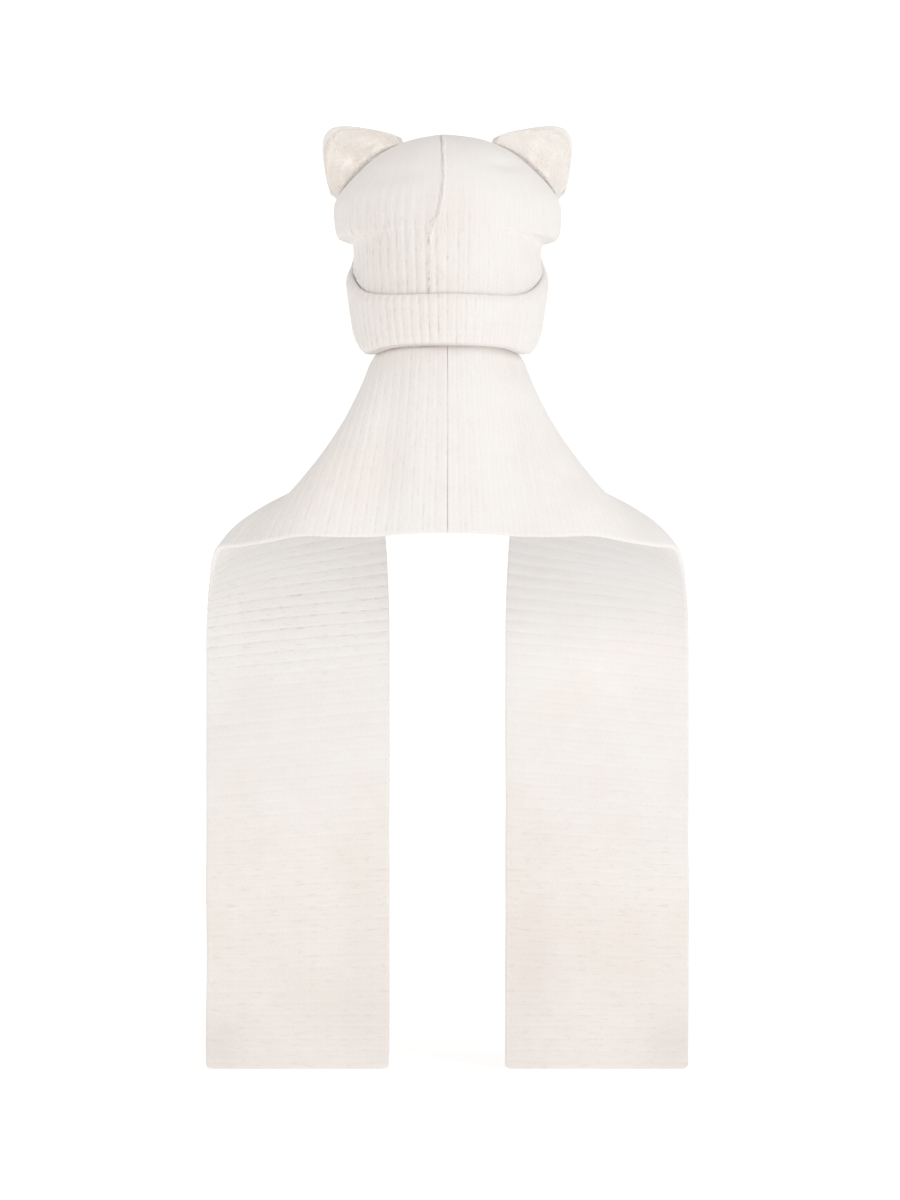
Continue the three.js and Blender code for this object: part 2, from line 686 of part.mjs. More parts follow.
const earFootOut = sectionAt(APEX - CAP_HEIGHT * EAR_FOOT_DEPTH);
const earFootIn = sectionAtBreadth(EAR_FOOT);
const earBottom = capPoint(earAngle, earFootOut).z;
const CUP_REACH = 1.3; // the cup is deepest where this share of the way up is one quarter turn of a sine

// The ear's middle surface, ruled from its foot on the cap to its outline. along runs from the inner to the
// outer end and rise from the foot to the outline. The ear is cupped towards the back.
function earPoint(along, rise) {
  const section = THREE.MathUtils.lerp(earFootIn, earFootOut, along);
  const foot = offCap(earAngle, section, RIB_RELIEF + SEWN_GAP);
  const outline = new THREE.Vector3(
    EAR_FOOT + outlineOut(along) * EAR_REACH,
    foot.y,
    earBottom + outlineUp(along) * EAR_RISE,
  );
  const point = foot.lerp(outline, rise);
  point.y += EAR_CUP * 4 * along * (1 - along) * Math.sin((Math.PI / 2) * CUP_REACH * rise);
  return point;
}

// Powers that shape the padding: how soon it is full from the foot's ends, and how late it thins towards the
// outline.
const PADDING_FULLNESS = 0.6;
const PADDING_ROUNDNESS = 2.4;

// Half the ear's thickness: full in the middle of the foot, and down to the rim's along the outline.
function earHalf(along, rise) {
  const endwards = Math.sin(Math.PI * along) ** PADDING_FULLNESS;
  const padding = endwards * Math.sqrt(1 - rise ** PADDING_ROUNDNESS);
  return (EAR_EDGE + (EAR_PADDING - EAR_EDGE) * padding) / 2;
}

// A lofted skin whose sections go up one face and down the other, with a share of the ear left off at each
// end.
function earSkin(ends, sectionPoints) {
  const skin = new Skin();
  const loops = Array.from({ length: EAR_SECTIONS + 1 }, (unused, i) =>
    skin.row(sectionPoints(THREE.MathUtils.lerp(ends, 1 - ends, i / EAR_SECTIONS))),
  );
  skin.loft(loops, true);
  return { skin, loops };
}

function earGeometry(side) {
  const { skin, loops } = earSkin(EAR_ENDS, (along) => {
    const face = (way) =>
      EAR_RISES.map((rise) => {
        const point = earPoint(along, rise);
        point.y += way * earHalf(along, rise);
        return point;
      });
    return [...face(-1), earPoint(along, 1), ...face(1).reverse()];
  });
  skin.closeByFan(loops[0], false);
  skin.closeByFan(loops.at(-1), true);
  return skin.geometry(side);
}

// The fleece: a thin pad on the ear's cupped back face.
function fleeceGeometry(side) {
  const { skin, loops } = earSkin(FLEECE_INSET, (along) => {
    const face = (height) =>
      FLEECE_RISES.map((rise) => {
        const point = earPoint(along, rise);
        point.y -= earHalf(along, rise) + SEWN_GAP + height;
        return point;
      });
    return [...face(FLEECE_THICKNESS), ...face(0).reverse()];
  });
  skin.closeByStrip(loops[0], false);
  skin.closeByStrip(loops.at(-1), true);
  return skin.geometry(side);
}

// The assembly

const knit = new THREE.MeshStandardMaterial({ color: 0xf1ece6, roughness: 0.95, metalness: 0 });
const fleece = new THREE.MeshStandardMaterial({ color: 0xe9d9c9, roughness: 1, metalness: 0 });

const hood = new THREE.Group();
function add(name, geometry, material, parent = hood) {
  const mesh = new THREE.Mesh(geometry, material);
  mesh.name = name;
  parent.add(mesh);
}

add("crown", crownGeometry(), knit);
add("brim", brimGeometry(), knit);
add("crown_seam", weltGeometry(), knit);
for (const [name, side] of [["left", -1], ["right", 1]]) {
  const half = new THREE.Group();
  hood.add(half);
  add(`ear_${name}`, earGeometry(side), knit, half);
  add(`ear_fleece_${name}`, fleeceGeometry(side), fleece, half);
  add(`scarf_${name}`, scarfGeometry(side), knit, half);
}

export default hood;
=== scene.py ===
"""An animal hood scarf, dressed for its picture.

A chunky rib-knit hood with a turned-up brim and padded ears faced with fleece, and a long rib-knit
scarf that is sewn inside the brim at the nape, opens over the shoulders and hangs down in front as
two panels.

Metres. +Z is up, +Y the way the wearer faces and +X the wearer's right. The origin is the top of the
hollow inside the cap. The camera stands behind the wearer and looks along +Y.
"""

import logging
from collections.abc import Mapping, Sequence
from dataclasses import dataclass, field
from enum import Enum
from typing import Any, Optional, Union

import bpy
import numpy as np
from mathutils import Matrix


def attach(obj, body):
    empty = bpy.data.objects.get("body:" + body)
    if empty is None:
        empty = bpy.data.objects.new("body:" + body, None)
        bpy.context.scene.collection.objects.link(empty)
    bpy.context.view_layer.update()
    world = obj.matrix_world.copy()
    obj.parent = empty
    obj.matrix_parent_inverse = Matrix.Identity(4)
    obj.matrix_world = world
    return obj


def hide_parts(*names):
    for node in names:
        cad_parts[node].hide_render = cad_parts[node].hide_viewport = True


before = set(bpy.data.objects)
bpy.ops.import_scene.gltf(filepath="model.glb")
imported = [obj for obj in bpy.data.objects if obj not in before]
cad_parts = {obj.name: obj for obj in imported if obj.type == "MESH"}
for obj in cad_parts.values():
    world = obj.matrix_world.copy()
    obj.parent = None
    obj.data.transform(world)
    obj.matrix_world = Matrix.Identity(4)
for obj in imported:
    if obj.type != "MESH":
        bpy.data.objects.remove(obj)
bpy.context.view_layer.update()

LOG = logging.getLogger("hood_scarf")
MM = 0.001
TURN = 2 * np.pi

Number = Union[float, np.ndarray]
Numbers = Sequence[float]


# Curves and noise


class Table:
    """Rows of numbers under named columns."""

    def __init__(self, names: str, *rows: Numbers) -> None:
        """Keeps the rows.

        Args:
            names: The columns' names, separated by spaces.
            rows: One sequence of numbers a row, in the order of the names.
        """
        self.rows = np.asarray(rows, float)
        self.columns = dict(zip(names.split(), self.rows.T))

    def __getitem__(self, name: str) -> np.ndarray:
        """One column."""
        return self.columns[name]

    def __len__(self) -> int:
        """How many rows there are."""
        return len(self.rows)


class Curve:
    """A smooth curve through values at rising keys, whose slopes come from the values on both sides."""

    def __init__(self, keys: Numbers, values: Numbers, start_slope: Optional[float] = None) -> None:
        """Keeps the keys and values and works out the slopes.

        Args:
            keys: Rising keys.
            values: The curve's value at each key.
            start_slope: The slope at the first key, where it isn't that of the first span.
        """
        self.keys = np.asarray(keys, float)
        self.values = np.asarray(values, float)
        index = np.arange(len(self.keys))
        before = np.maximum(index - 1, 0)
        after = np.minimum(index + 1, len(index) - 1)
        rise = self.values[after] - self.values[before]
        self.slopes = rise / (self.keys[after] - self.keys[before])
        if start_slope is not None:
            self.slopes[0] = start_slope

    def __call__(self, key: Number) -> np.ndarray:
        """The curve's value at each key: the cubic of the span that the key lies in."""
        key = np.asarray(key, float)
        i = np.clip(np.searchsorted(self.keys, key, side="right") - 1, 0, len(self.keys) - 2)
        span = self.keys[i + 1] - self.keys[i]
        t = (key - self.keys[i]) / span
        rest = 1 - t
        ends = self.values[i] * (1 + 2 * t) * rest**2 + self.values[i + 1] * (3 - 2 * t) * t**2
        return ends + self.slopes[i] * span * t * rest**2 - self.slopes[i + 1] * span * t**2 * rest


def smooth_step(value: Number, low: float, high: float) -> np.ndarray:
    """0 below low, 1 above high, and a cubic with level ends in between."""
    t = np.clip((np.asarray(value, float) - low) / (high - low), 0, 1)
    return t * t * (3 - 2 * t)


def bell(value: Number, middle: float, width: float) -> np.ndarray:
    """1 at the middle and falling away as a normal curve of that width."""
    return np.exp(-(((np.asarray(value, float) - middle) / width) ** 2))


def quarter_round(share: Number, least: float) -> np.ndarray:
    """A quarter circle's height at a share of the way in from an edge, and no less than the root of least."""
    return np.sqrt(np.clip(1 - (1 - np.clip(share, 0, 1)) ** 2, least, 1))


def there_and_back(values: np.ndarray) -> np.ndarray:
    """One row that runs through the values and back again, as a loop round a flat section does."""
    return np.concatenate([values, values[::-1]])[None, :]


def two_faces(count: int, first: float, second: float) -> np.ndarray:
    """One row with a number for each of the two faces of such a loop."""
    return np.repeat([first, second], count)[None, :]


def unit(vectors: np.ndarray) -> np.ndarray:
    """The vectors at length one."""
    return vectors / np.maximum(np.linalg.norm(vectors, axis=-1, keepdims=True), 1e-12)


@dataclass(frozen=True)
class Unevenness:
    """Smooth seeded noise of two coordinates: a sum of sine waves of random direction, length and phase."""

    seed: int
    size: float
    waves: int = 14
    longest: float = 2.2
    shortest: float = 0.7

    def __call__(self, u: Number, v: Number) -> np.ndarray:
        """The noise at each point, within about -1 and 1.

        Args:
            u: The first coordinate, in the units of size.
            v: The second coordinate.

        Returns:
            The mean of the waves, scaled so that its spread is about a half.
        """
        random = np.random.default_rng(self.seed)
        directions = random.uniform(0, TURN, self.waves)
        lengths = self.size * random.uniform(self.shortest, self.longest, self.waves)
        phases = random.uniform(0, TURN, self.waves)
        u, v = np.broadcast_arrays(np.asarray(u, float), np.asarray(v, float))
        total = np.zeros(u.shape)
        for direction, length, phase in zip(directions, lengths, phases):
            along = u * np.cos(direction) + v * np.sin(direction)
            total += np.sin(TURN * along / length + phase)
        return total / np.sqrt(2 * self.waves)


# Meshes


def quad_corners(rows: int, columns: int) -> list[tuple[np.ndarray, np.ndarray]]:
    """The row and column of each of the four corners, for a grid of rows by columns quads."""
    i, j = np.meshgrid(np.arange(rows), np.arange(columns), indexing="ij")
    return [(i, j), (i, j + 1), (i + 1, j + 1), (i + 1, j)]


def knit_map(across: np.ndarray, along: np.ndarray) -> np.ndarray:
    """The knit's own coordinates: ribs counted across and courses counted along."""
    return np.stack(np.broadcast_arrays(across, along), -1)


def signed_volume(vertices: np.ndarray, groups: Sequence[np.ndarray]) -> float:
    """Six times the volume inside closed faces.

    Args:
        vertices: Points, n by 3.
        groups: Arrays of vertex numbers, each faces by corners.

    Returns:
        The sum, negative where the faces point inwards.
    """
    fans = [faces[:, [0, k, k + 1]] for faces in groups for k in range(1, faces.shape[1] - 1)]
    a, b, c = (vertices[corner] for corner in np.concatenate(fans).T)
    return float(np.einsum("ij,ij->", a, np.cross(b, c)))


def make_object(
    name: str,
    vertices: np.ndarray,
    faces: Sequence[np.ndarray],
    uv: Optional[np.ndarray] = None,
    marks: Optional[Mapping[str, np.ndarray]] = None,
) -> bpy.types.Object:
    """Puts arrays into a new smooth-shaded mesh object at the origin.

    Args:
        name: The object's name.
        vertices: Points, n by 3.
        faces: Arrays of vertex numbers, each faces by corners.
        uv: One pair for each face corner, in the faces' order.
        marks: Numbers for each vertex, by attribute name.

    Returns:
        The object, linked to the scene.
    """
    counts = np.concatenate([np.full(len(group), group.shape[1]) for group in faces])
    corners = np.concatenate([group.reshape(-1) for group in faces])
    mesh = bpy.data.meshes.new(name)
    mesh.vertices.add(len(vertices))
    mesh.vertices.foreach_set("co", np.ascontiguousarray(vertices, np.float32).reshape(-1))
    mesh.loops.add(len(corners))
    mesh.loops.foreach_set("vertex_index", corners.astype(np.int32))
    mesh.polygons.add(len(counts))
    mesh.polygons.foreach_set("loop_start", (np.cumsum(counts) - counts).astype(np.int32))
    mesh.polygons.foreach_set("use_smooth", np.ones(len(counts), bool))
    if uv is not None:
        layer = mesh.uv_layers.new(name="knit")
        layer.uv.foreach_set("vector", np.ascontiguousarray(uv, np.float32).reshape(-1))
    for mark, values in (marks or {}).items():
        attribute = mesh.attributes.new(mark, "FLOAT", "POINT")
        attribute.data.foreach_set("value", np.ascontiguousarray(values, np.float32))
    mesh.update(calc_edges=True)
    mesh.validate()
    made = bpy.data.objects.new(name, mesh)
    bpy.context.scene.collection.objects.link(made)
    return made


class Ends(Enum):
    """How the first and last row of a shell are closed."""

    POLE = "each to a point"
    FLAT = "each by a strip between its two halves"
    RING = "to one another"


@dataclass
class Shell:
    """A closed surface on a grid of points. Each row is a closed loop, and quads join neighbouring rows.

    Attributes:
        points: The grid, rows by columns by 3.
        uv: The knit's own coordinates, rows by columns + 1 by 2, and one row more for a ring.
        ends: How the first and last row are closed.
        marks: Numbers for the materials to read, each rows by columns.
    """

    points: np.ndarray
    uv: np.ndarray
    ends: Ends
    marks: dict[str, np.ndarray] = field(default_factory=dict)

    def quads(self) -> tuple[np.ndarray, np.ndarray]:
        """The quads between rows and over flat ends.

        Returns:
            Vertex numbers, faces by 4, and coordinates, faces by 4 by 2.
        """
        rows, columns = self.points.shape[:2]
        corners = quad_corners(rows if self.ends is Ends.RING else rows - 1, columns)
        faces = np.stack([(a % rows) * columns + b % columns for a, b in corners], -1).reshape(-1, 4)
        places = np.stack([self.uv[a, b] for a, b in corners], -2).reshape(-1, 4, 2)
        if self.ends is not Ends.FLAT:
            return faces, places
        j = np.arange(columns // 2 - 1)
        strip = [j, j + 1, columns - 2 - j, columns - 1 - j]
        for row, around in ((0, strip[::-1]), (rows - 1, strip)):
            faces = np.concatenate([faces, np.stack([row * columns + c for c in around], -1)])
            places = np.concatenate([places, np.stack([self.uv[row, c] for c in around], -2)])
        return faces, places

    def fans(self) -> tuple[np.ndarray, np.ndarray]:
        """The triangles from the first and last row to their poles, which follow the grid's points.

        Returns:
            Vertex numbers, faces by 3, and coordinates, faces by 3 by 2.
        """
        rows, columns = self.points.shape[:2]
        j = np.arange(columns)
        faces = []
        places = []
        for row, way, pole in ((0, -1, rows * columns), (rows - 1, 1, rows * columns + 1)):
            foot = [row * columns + j, row * columns + (j + 1) % columns][::way]
            sides = [self.uv[row, j], self.uv[row, j + 1]][::way]
            faces.append(np.stack([*foot, np.full(columns, pole)], -1))
            places.append(np.stack([*sides, (sides[0] + sides[1]) / 2], -2))
        return np.concatenate(faces), np.concatenate(places)

    def build(self, name: str) -> bpy.types.Object:
        """Makes the mesh and its object, with faces outwards, and links it to the scene.

        Args:
            name: The object's name.

        Returns:
            The new object, at the origin.
        """
        vertices = self.points.reshape(-1, 3)
        marks = {mark: grid.reshape(-1) for mark, grid in self.marks.items()}
        groups = [self.quads()]
        if self.ends is Ends.POLE:
            poles = [0, -1]
            vertices = np.concatenate([vertices, self.points[poles].mean(1)])
            marks = {mark: np.append(grid, grid[poles].mean(1)) for mark, grid in self.marks.items()}
            groups.append(self.fans())
        if signed_volume(vertices, [faces for faces, places in groups]) < 0:
            groups = [(faces[:, ::-1], places[:, ::-1]) for faces, places in groups]
        uv = np.concatenate([places.reshape(-1, 2) for faces, places in groups])
        return make_object(name, vertices, [faces for faces, places in groups], uv, marks)


# Shader nodes


class Value:
    """A shader socket that holds a number, with arithmetic that adds Math nodes."""

    def __init__(self, nodes: "Nodes", socket: bpy.types.NodeSocket) -> None:
        """Wraps one output socket of a node."""
        self.nodes = nodes
        self.socket = socket

    def math(self, operation: str, *others: "Operand") -> "Value":
        """A Math node of this value and the others, in that order."""
        return self.nodes.math(operation, self, *others)

    def __add__(self, other: "Operand") -> "Value":
        """The sum."""
        return self.math("ADD", other)

    __radd__ = __add__

    def __sub__(self, other: "Operand") -> "Value":
        """This less the other."""
        return self.math("SUBTRACT", other)

    def __rsub__(self, other: "Operand") -> "Value":
        """The other less this."""
        return self.nodes.math("SUBTRACT", other, self)

    def __mul__(self, other: "Operand") -> "Value":
        """The product."""
        return self.math("MULTIPLY", other)

    __rmul__ = __mul__

    def __abs__(self) -> "Value":
        """The size without the sign."""
        return self.math("ABSOLUTE")

    def fraction(self) -> "Value":
        """What is over a whole number."""
        return self.math("FRACT")

    def wave(self) -> "Value":
        """The sine of this many whole turns."""
        return (self * TURN).math("SINE")

    def between(self, low: float, high: float) -> "Value":
        """0 below low and 1 above high, with a smooth step in between."""
        node = self.nodes.add(
            "ShaderNodeMapRange",
            {"interpolation_type": "SMOOTHSTEP"},
            {"Value": self, "From Min": low, "From Max": high},
        )
        return Value(self.nodes, node.outputs["Result"])


Operand = Union[Value, float, int]
Place = bpy.types.NodeSocket
Colour = tuple[float, float, float, float]


class Nodes:
    """The node tree of one material."""

    def __init__(self, name: str) -> None:
        """Starts a material with a Principled shader and an output.

        Args:
            name: The material's name.
        """
        self.material = bpy.data.materials.new(name)
        self.material.use_nodes = True
        self.tree = self.material.node_tree
        self.shader = self.tree.nodes["Principled BSDF"]

    def add(self, kind: str, settings: Mapping[str, Any], values: Mapping[Any, Any]) -> bpy.types.Node:
        """Adds one node.

        Args:
            kind: The node's type.
            settings: Its properties, which are set first.
            values: For each input, by name or number, a link or a constant.

        Returns:
            The node.
        """
        node = self.tree.nodes.new(kind)
        for key, value in settings.items():
            setattr(node, key, value)
        self.feed(node, values)
        return node

    def feed(self, node: bpy.types.Node, values: Mapping[Any, Any]) -> None:
        """Links a node's inputs to Values or sockets, or sets their constants.

        Args:
            node: The node.
            values: A Value, a socket or a constant for each input, by name or number.
        """
        for key, value in values.items():
            source = value.socket if isinstance(value, Value) else value
            if isinstance(source, bpy.types.NodeSocket):
                self.tree.links.new(source, node.inputs[key])
            else:
                node.inputs[key].default_value = source

    def dress(self, values: Mapping[str, Any]) -> bpy.types.Material:
        """Feeds the shader itself, and gives the finished material."""
        self.feed(self.shader, values)
        return self.material

    def math(self, operation: str, *operands: Operand) -> Value:
        """A Math node of the operands."""
        node = self.add("ShaderNodeMath", {"operation": operation}, dict(enumerate(operands)))
        return Value(self, node.outputs[0])

    def mark(self, name: str) -> Value:
        """A number that the mesh carries at each vertex."""
        node = self.add("ShaderNodeAttribute", {"attribute_name": name}, {})
        return Value(self, node.outputs["Fac"])

    def knit_place(self) -> tuple[Place, Value, Value]:
        """The piece's own map: the whole place, the ribs counted across and the courses along."""
        place = self.add("ShaderNodeUVMap", {"uv_map": "knit"}, {}).outputs["UV"]
        parts = self.add("ShaderNodeSeparateXYZ", {}, {0: place})
        return place, Value(self, parts.outputs["X"]), Value(self, parts.outputs["Y"])

    def here(self) -> Place:
        """The place in the object's own frame, in metres."""
        return self.add("ShaderNodeTexCoord", {}, {}).outputs["Object"]

    def stretched(self, place: Place, scale: tuple[float, float, float]) -> Place:
        """A place multiplied along each axis."""
        node = self.add("ShaderNodeVectorMath", {"operation": "MULTIPLY"}, {0: place, 1: scale})
        return node.outputs["Vector"]

    def blend(self, factor: Operand, first: Any, second: Any) -> bpy.types.NodeSocket:
        """A colour between two, by a factor."""
        node = self.add("ShaderNodeMix", {"data_type": "RGBA"}, {"Factor": factor, 6: first, 7: second})
        return node.outputs[2]

    def bump(self, height: Value, distance: float, strength: float) -> bpy.types.NodeSocket:
        """A normal that follows a height.

        Args:
            height: The relief, around 0 to 1.
            distance: What a height of 1 stands for, in metres.
            strength: How much of it shows.

        Returns:
            The normal's socket.
        """
        values = {"Height": height, "Distance": distance, "Strength": strength}
        return self.add("ShaderNodeBump", {}, values).outputs["Normal"]


@dataclass(frozen=True)
class Grain:
    """Noise of one kind, and the two levels between which it turns into patches.

    Attributes:
        scale: How many features lie in a unit of the place.
        detail: Octaves of finer noise.
        rough: How strong those are.
        low: What lies below this level is 0 in the patches.
        high: What lies above this level is 1 in them.
        stretch: The factor along each axis that makes the noise long one way, where it is.
    """

    scale: float
    detail: float = 2
    rough: float = 0.5
    low: float = 0.0
    high: float = 1.0
    stretch: Optional[tuple[float, float, float]] = None

    def noise(self, nodes: Nodes, place: Place) -> Value:
        """The noise itself.

        Args:
            nodes: The tree that it goes into.
            place: Where it is read.

        Returns:
            A value around a half.
        """
        if self.stretch is not None:
            place = nodes.stretched(place, self.stretch)
        values = {"Vector": place, "Scale": self.scale, "Detail": self.detail, "Roughness": self.rough}
        return Value(nodes, nodes.add("ShaderNodeTexNoise", {}, values).outputs["Fac"])

    def patches(self, nodes: Nodes, place: Place) -> Value:
        """The noise spread out between its two levels."""
        return self.noise(nodes, place).between(self.low, self.high)


@dataclass(frozen=True)
class KnitFinish:
    """The look of the brushed rib knit: chevrons of stitches on the ribs, painted shade in the furrows and
    loose fibre.
    """

    name: str = "brushed_rib_knit"
    yarn: Colour = (0.85, 0.83, 0.805, 1)
    warm_yarn: Colour = (0.85, 0.785, 0.73, 1)
    pink: Colour = (0.86, 0.775, 0.745, 1)
    # The brown that painted shade in the furrows and stitch troughs darkens to; dashes, ticks and patches
    # lean to it too.
    painted_furrow_shade: Colour = (0.48, 0.40, 0.33, 1)
    # A dark brown for painted shadows under the brim's fold and in the seam's groove and stitch gaps, and for
    # slight soil near the scarf's hem.
    painted_shade_and_soil: Colour = (0.22, 0.13, 0.08, 1)
    # A grey for painted shade on the scarf under the cape's hem and towards its lower end, and for the hood's
    # even dulling.
    grey_and_painted_shade: Colour = (0.58, 0.58, 0.59, 1)
    roughness: float = 0.92
    sheen: float = 0.3
    stitch_relief: float = 0.7 * MM
    furrow_shade: float = 0.42
    tick_shade: float = 0.17
    dash_shade: float = 0.12
    wale_shade: float = 0.045
    patch_shade: float = 0.04
    stitch_shade: float = 0.04
    wander: Grain = Grain(1.3)
    streaks: Grain = Grain(1.0, 4, 0.65, 0.52, 0.7, (3.6, 0.22, 1))
    breaks: Grain = Grain(1.0, 3, 0.6, 0.5, 0.68, (2.2, 0.55, 1))
    ticks: Grain = Grain(1.0, 2, 0.5, 0.6, 0.67, (4.6, 0.4, 1))
    fuzz: Grain = Grain(900, 3, 0.6)
    clouds: Grain = Grain(11, 4, 0.6, 0.4, 0.66)
    blush: Grain = Grain(17, 3, 0.6, 0.42, 0.66)

    def material(self) -> bpy.types.Material:
        """Builds the material.

        Within a rib the distance from its middle line bends the courses into chevrons, whose wave is the
        stitches' height. Noise stretched along the ribs makes broken dashes, which deepen where they meet a
        furrow. The furrows and the troughs between the stitches are painted darker towards a brown: painted
        shade in the knit's hollows. Broad noise and the piece's warmth mark shift the yarn's colour, and that
        mark is partly painted light. A grey mark lays painted shade, and a dark brown one lays painted
        shadows and slight soil.

        Returns:
            The material.
        """
        n = Nodes(self.name)
        place, ribs, courses = n.knit_place()
        here = n.here()
        # How far the ribs lie open: fully on the left, where it also strengthens the painted shade in the
        # furrows.
        open_and_left_shade = n.mark("open_ribs_and_left_shade")
        from_middle = abs(ribs.fraction() - 0.5)
        stitch = (courses + from_middle * 1.5 + self.wander.noise(n, place) * 0.5).wave() * 0.5 + 0.5
        chevrons = (stitch * 0.7 + 0.3) * (1 - from_middle.between(0.36, 0.5) * 0.6)
        wale = 1 - from_middle.between(0.0, 0.12)
        streaks = self.streaks.noise(n, place)
        dashes = streaks.between(self.streaks.low, self.streaks.high) * (open_and_left_shade * 0.85 + 0.15)
        broken = self.breaks.patches(n, place) * 0.8 + 0.2
        # Painted shade in the rib furrows, strongest on the wearer's left, the side away from the key light.
        painted_furrow_shade = (1 - n.mark("depth").between(0.0, 0.5)) * broken * open_and_left_shade
        ticks = self.ticks.patches(n, place) * open_and_left_shade
        clouds = self.clouds.patches(n, here)
        # The warmth mark is partly painted light: warm painted shade on the left and a lighter nape under the
        # brim; ear pads and seam get a fixed tone.
        yarn = n.blend(n.mark("warmth_and_painted_light") * 0.75 + clouds * 0.3, self.yarn, self.warm_yarn)
        yarn = n.blend(self.blush.patches(n, here) * 0.25, yarn, self.pink)
        shade = painted_furrow_shade * self.furrow_shade + dashes * self.dash_shade
        shade = shade + (1 - chevrons) * self.stitch_shade + clouds * self.patch_shade
        shade = shade + wale * self.wale_shade + ticks * self.tick_shade
        # The grey mark lays painted shade on the scarf and an even dulling on the hood.
        colour = n.blend(n.mark("grey_and_painted_shade"), n.blend(shade, yarn, self.painted_furrow_shade), self.grey_and_painted_shade)
        height = chevrons * 0.25 + streaks * 0.5 + self.fuzz.noise(n, here) * 0.3
        return n.dress(
            {
                # Painted shadows and slight soil in dark brown, where that mark is set.
                "Base Color": n.blend(n.mark("painted_shade_and_soil"), colour, self.painted_shade_and_soil),
                "Roughness": self.roughness,
                "Sheen Weight": self.sheen,
                "Sheen Roughness": 0.6,
                "Specular IOR Level": 0.15,
                "Normal": n.bump(height, self.stitch_relief, 0.55),
            }
        )


@dataclass(frozen=True)
class FleeceFinish:
    """The look of the ears' beige fleece: soft clumps with light tips and deeper roots."""

    name: str = "beige_fleece"
    tips: Colour = (0.975, 0.935, 0.89, 1)
    roots: Colour = (0.945, 0.87, 0.80, 1)
    roughness: float = 0.95
    sheen: float = 0.5
    fuzz_relief: float = 0.4 * MM
    clumps: Grain = Grain(130, 3, 0.55, 0.35, 0.7)
    fuzz: Grain = Grain(1400, 3, 0.6)

    def material(self) -> bpy.types.Material:
        """Builds the material: the pile's height lightens it, and clumps of noise darken it in patches."""
        n = Nodes(self.name)
        here = n.here()
        clumps = self.clumps.patches(n, here)
        shade = (1 - n.mark("depth")) * 0.75 + clumps * 0.25
        relief = self.fuzz.noise(n, here) + clumps * 0.8
        return n.dress(
            {
                "Base Color": n.blend(shade, self.tips, self.roots),
                "Roughness": self.roughness,
                "Sheen Weight": self.sheen,
                "Specular IOR Level": 0.15,
                "Normal": n.bump(relief, self.fuzz_relief, 0.4),
            }
        )


@dataclass(frozen=True)
class FloorFinish:
    """Plain pale studio floor and backdrop."""

    name: str = "pale_floor"
    colour: Colour = (0.93, 0.93, 0.93, 1)
    lighter: Colour = (0.94, 0.94, 0.94, 1)
    glow: float = 0.355
    tone: Grain = Grain(1.5, 1)

    def material(self) -> bpy.types.Material:
        """Builds the material: one pale, dull colour with a trace of unevenness, and an even glow."""
        n = Nodes(self.name)
        return n.dress(
            {
                "Base Color": n.blend(self.tone.noise(n, n.here()), self.colour, self.lighter),
                "Roughness": 0.9,
                "Specular IOR Level": 0.0,
                "Emission Color": (1, 1, 1, 1),
                "Emission Strength": self.glow,
            }
        )


def wear(
    piece: bpy.types.Object, material: bpy.types.Material, slot: str, *nodes: str
) -> bpy.types.Object:
    """Gives a piece its material and its place on the part.

    Args:
        piece: The object.
        material: Its finish.
        slot: The record's material slot; not used.
        nodes: The CAD nodes that it stands for.

    Returns:
        The piece.
    """
    piece.data.materials.append(material)
    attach(piece, "root")
    if nodes:
        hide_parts(*nodes)
    LOG.info("%s: %d faces", piece.name, len(piece.data.polygons))
    return piece


# The knit


@dataclass(frozen=True)
class RibKnit:
    """The relief of a rib knit.

    Ribs and courses are counted, so that a whole number of ribs is a furrow on the outer face and a crest
    on the inner one.
    """

    relief: float = 0.55 * MM
    stitch: float = 0.12 * MM
    roundness: float = 0.9
    liveliness: float = 0.45
    slant: float = 1.5
    uneven: Unevenness = Unevenness(seed=4, size=3.0)

    def offset(self, ribs: np.ndarray, courses: np.ndarray, face: Number) -> np.ndarray:
        """How far the knit's face stands off its mean surface.

        A crest is a sine wave's half to a power below one, which makes it broad and its furrows narrow. On
        the outer face crests are halfway between whole ribs, and the inner face has them on whole ribs,
        sunken instead. Chevrons of stitches ride on the crests, and each rib's height varies along it.

        Args:
            ribs: Ribs from the start.
            courses: Courses from the start.
            face: 1 on the outer face and -1 on the inner one.

        Returns:
            Metres off the mean surface, towards the outer side.
        """
        outer = 2 * np.abs(np.sin(np.pi * ribs)) ** self.roundness - 1
        inner = 1 - 2 * np.abs(np.cos(np.pi * ribs)) ** self.roundness
        share = (np.asarray(face, float) + 1) / 2
        lively = 1 + self.liveliness * self.uneven(ribs, courses * 0.25)
        crest = share * outer + (1 - share) * inner
        middle = np.abs((ribs + np.where(share > 0.5, 0.0, 0.5)) % 1 - 0.5)
        chevron = np.cos(TURN * (courses + self.slant * middle)) * np.cos(np.pi * middle) ** 2
        return self.relief * crest * lively + self.stitch * chevron * (2 * share - 1)

    def depth(self, ribs: np.ndarray, face: Number) -> np.ndarray:
        """0 in the furrows of a face and 1 on its crests."""
        share = (np.asarray(face, float) + 1) / 2
        return share * np.abs(np.sin(np.pi * ribs)) + (1 - share) * np.abs(np.cos(np.pi * ribs))


def openness_and_left_shade(across: Number) -> np.ndarray:
    """How far the ribs lie open at a place across the wearer: fully on the left, hardly on the right. It
    deepens their relief there, and in the colour it also strengthens painted shade in the furrows and a
    warm painted shade on the left, the side away from the key light.
    """
    return 1 - 0.8 * smooth_step(across, -12 * MM, 42 * MM)


# The hood


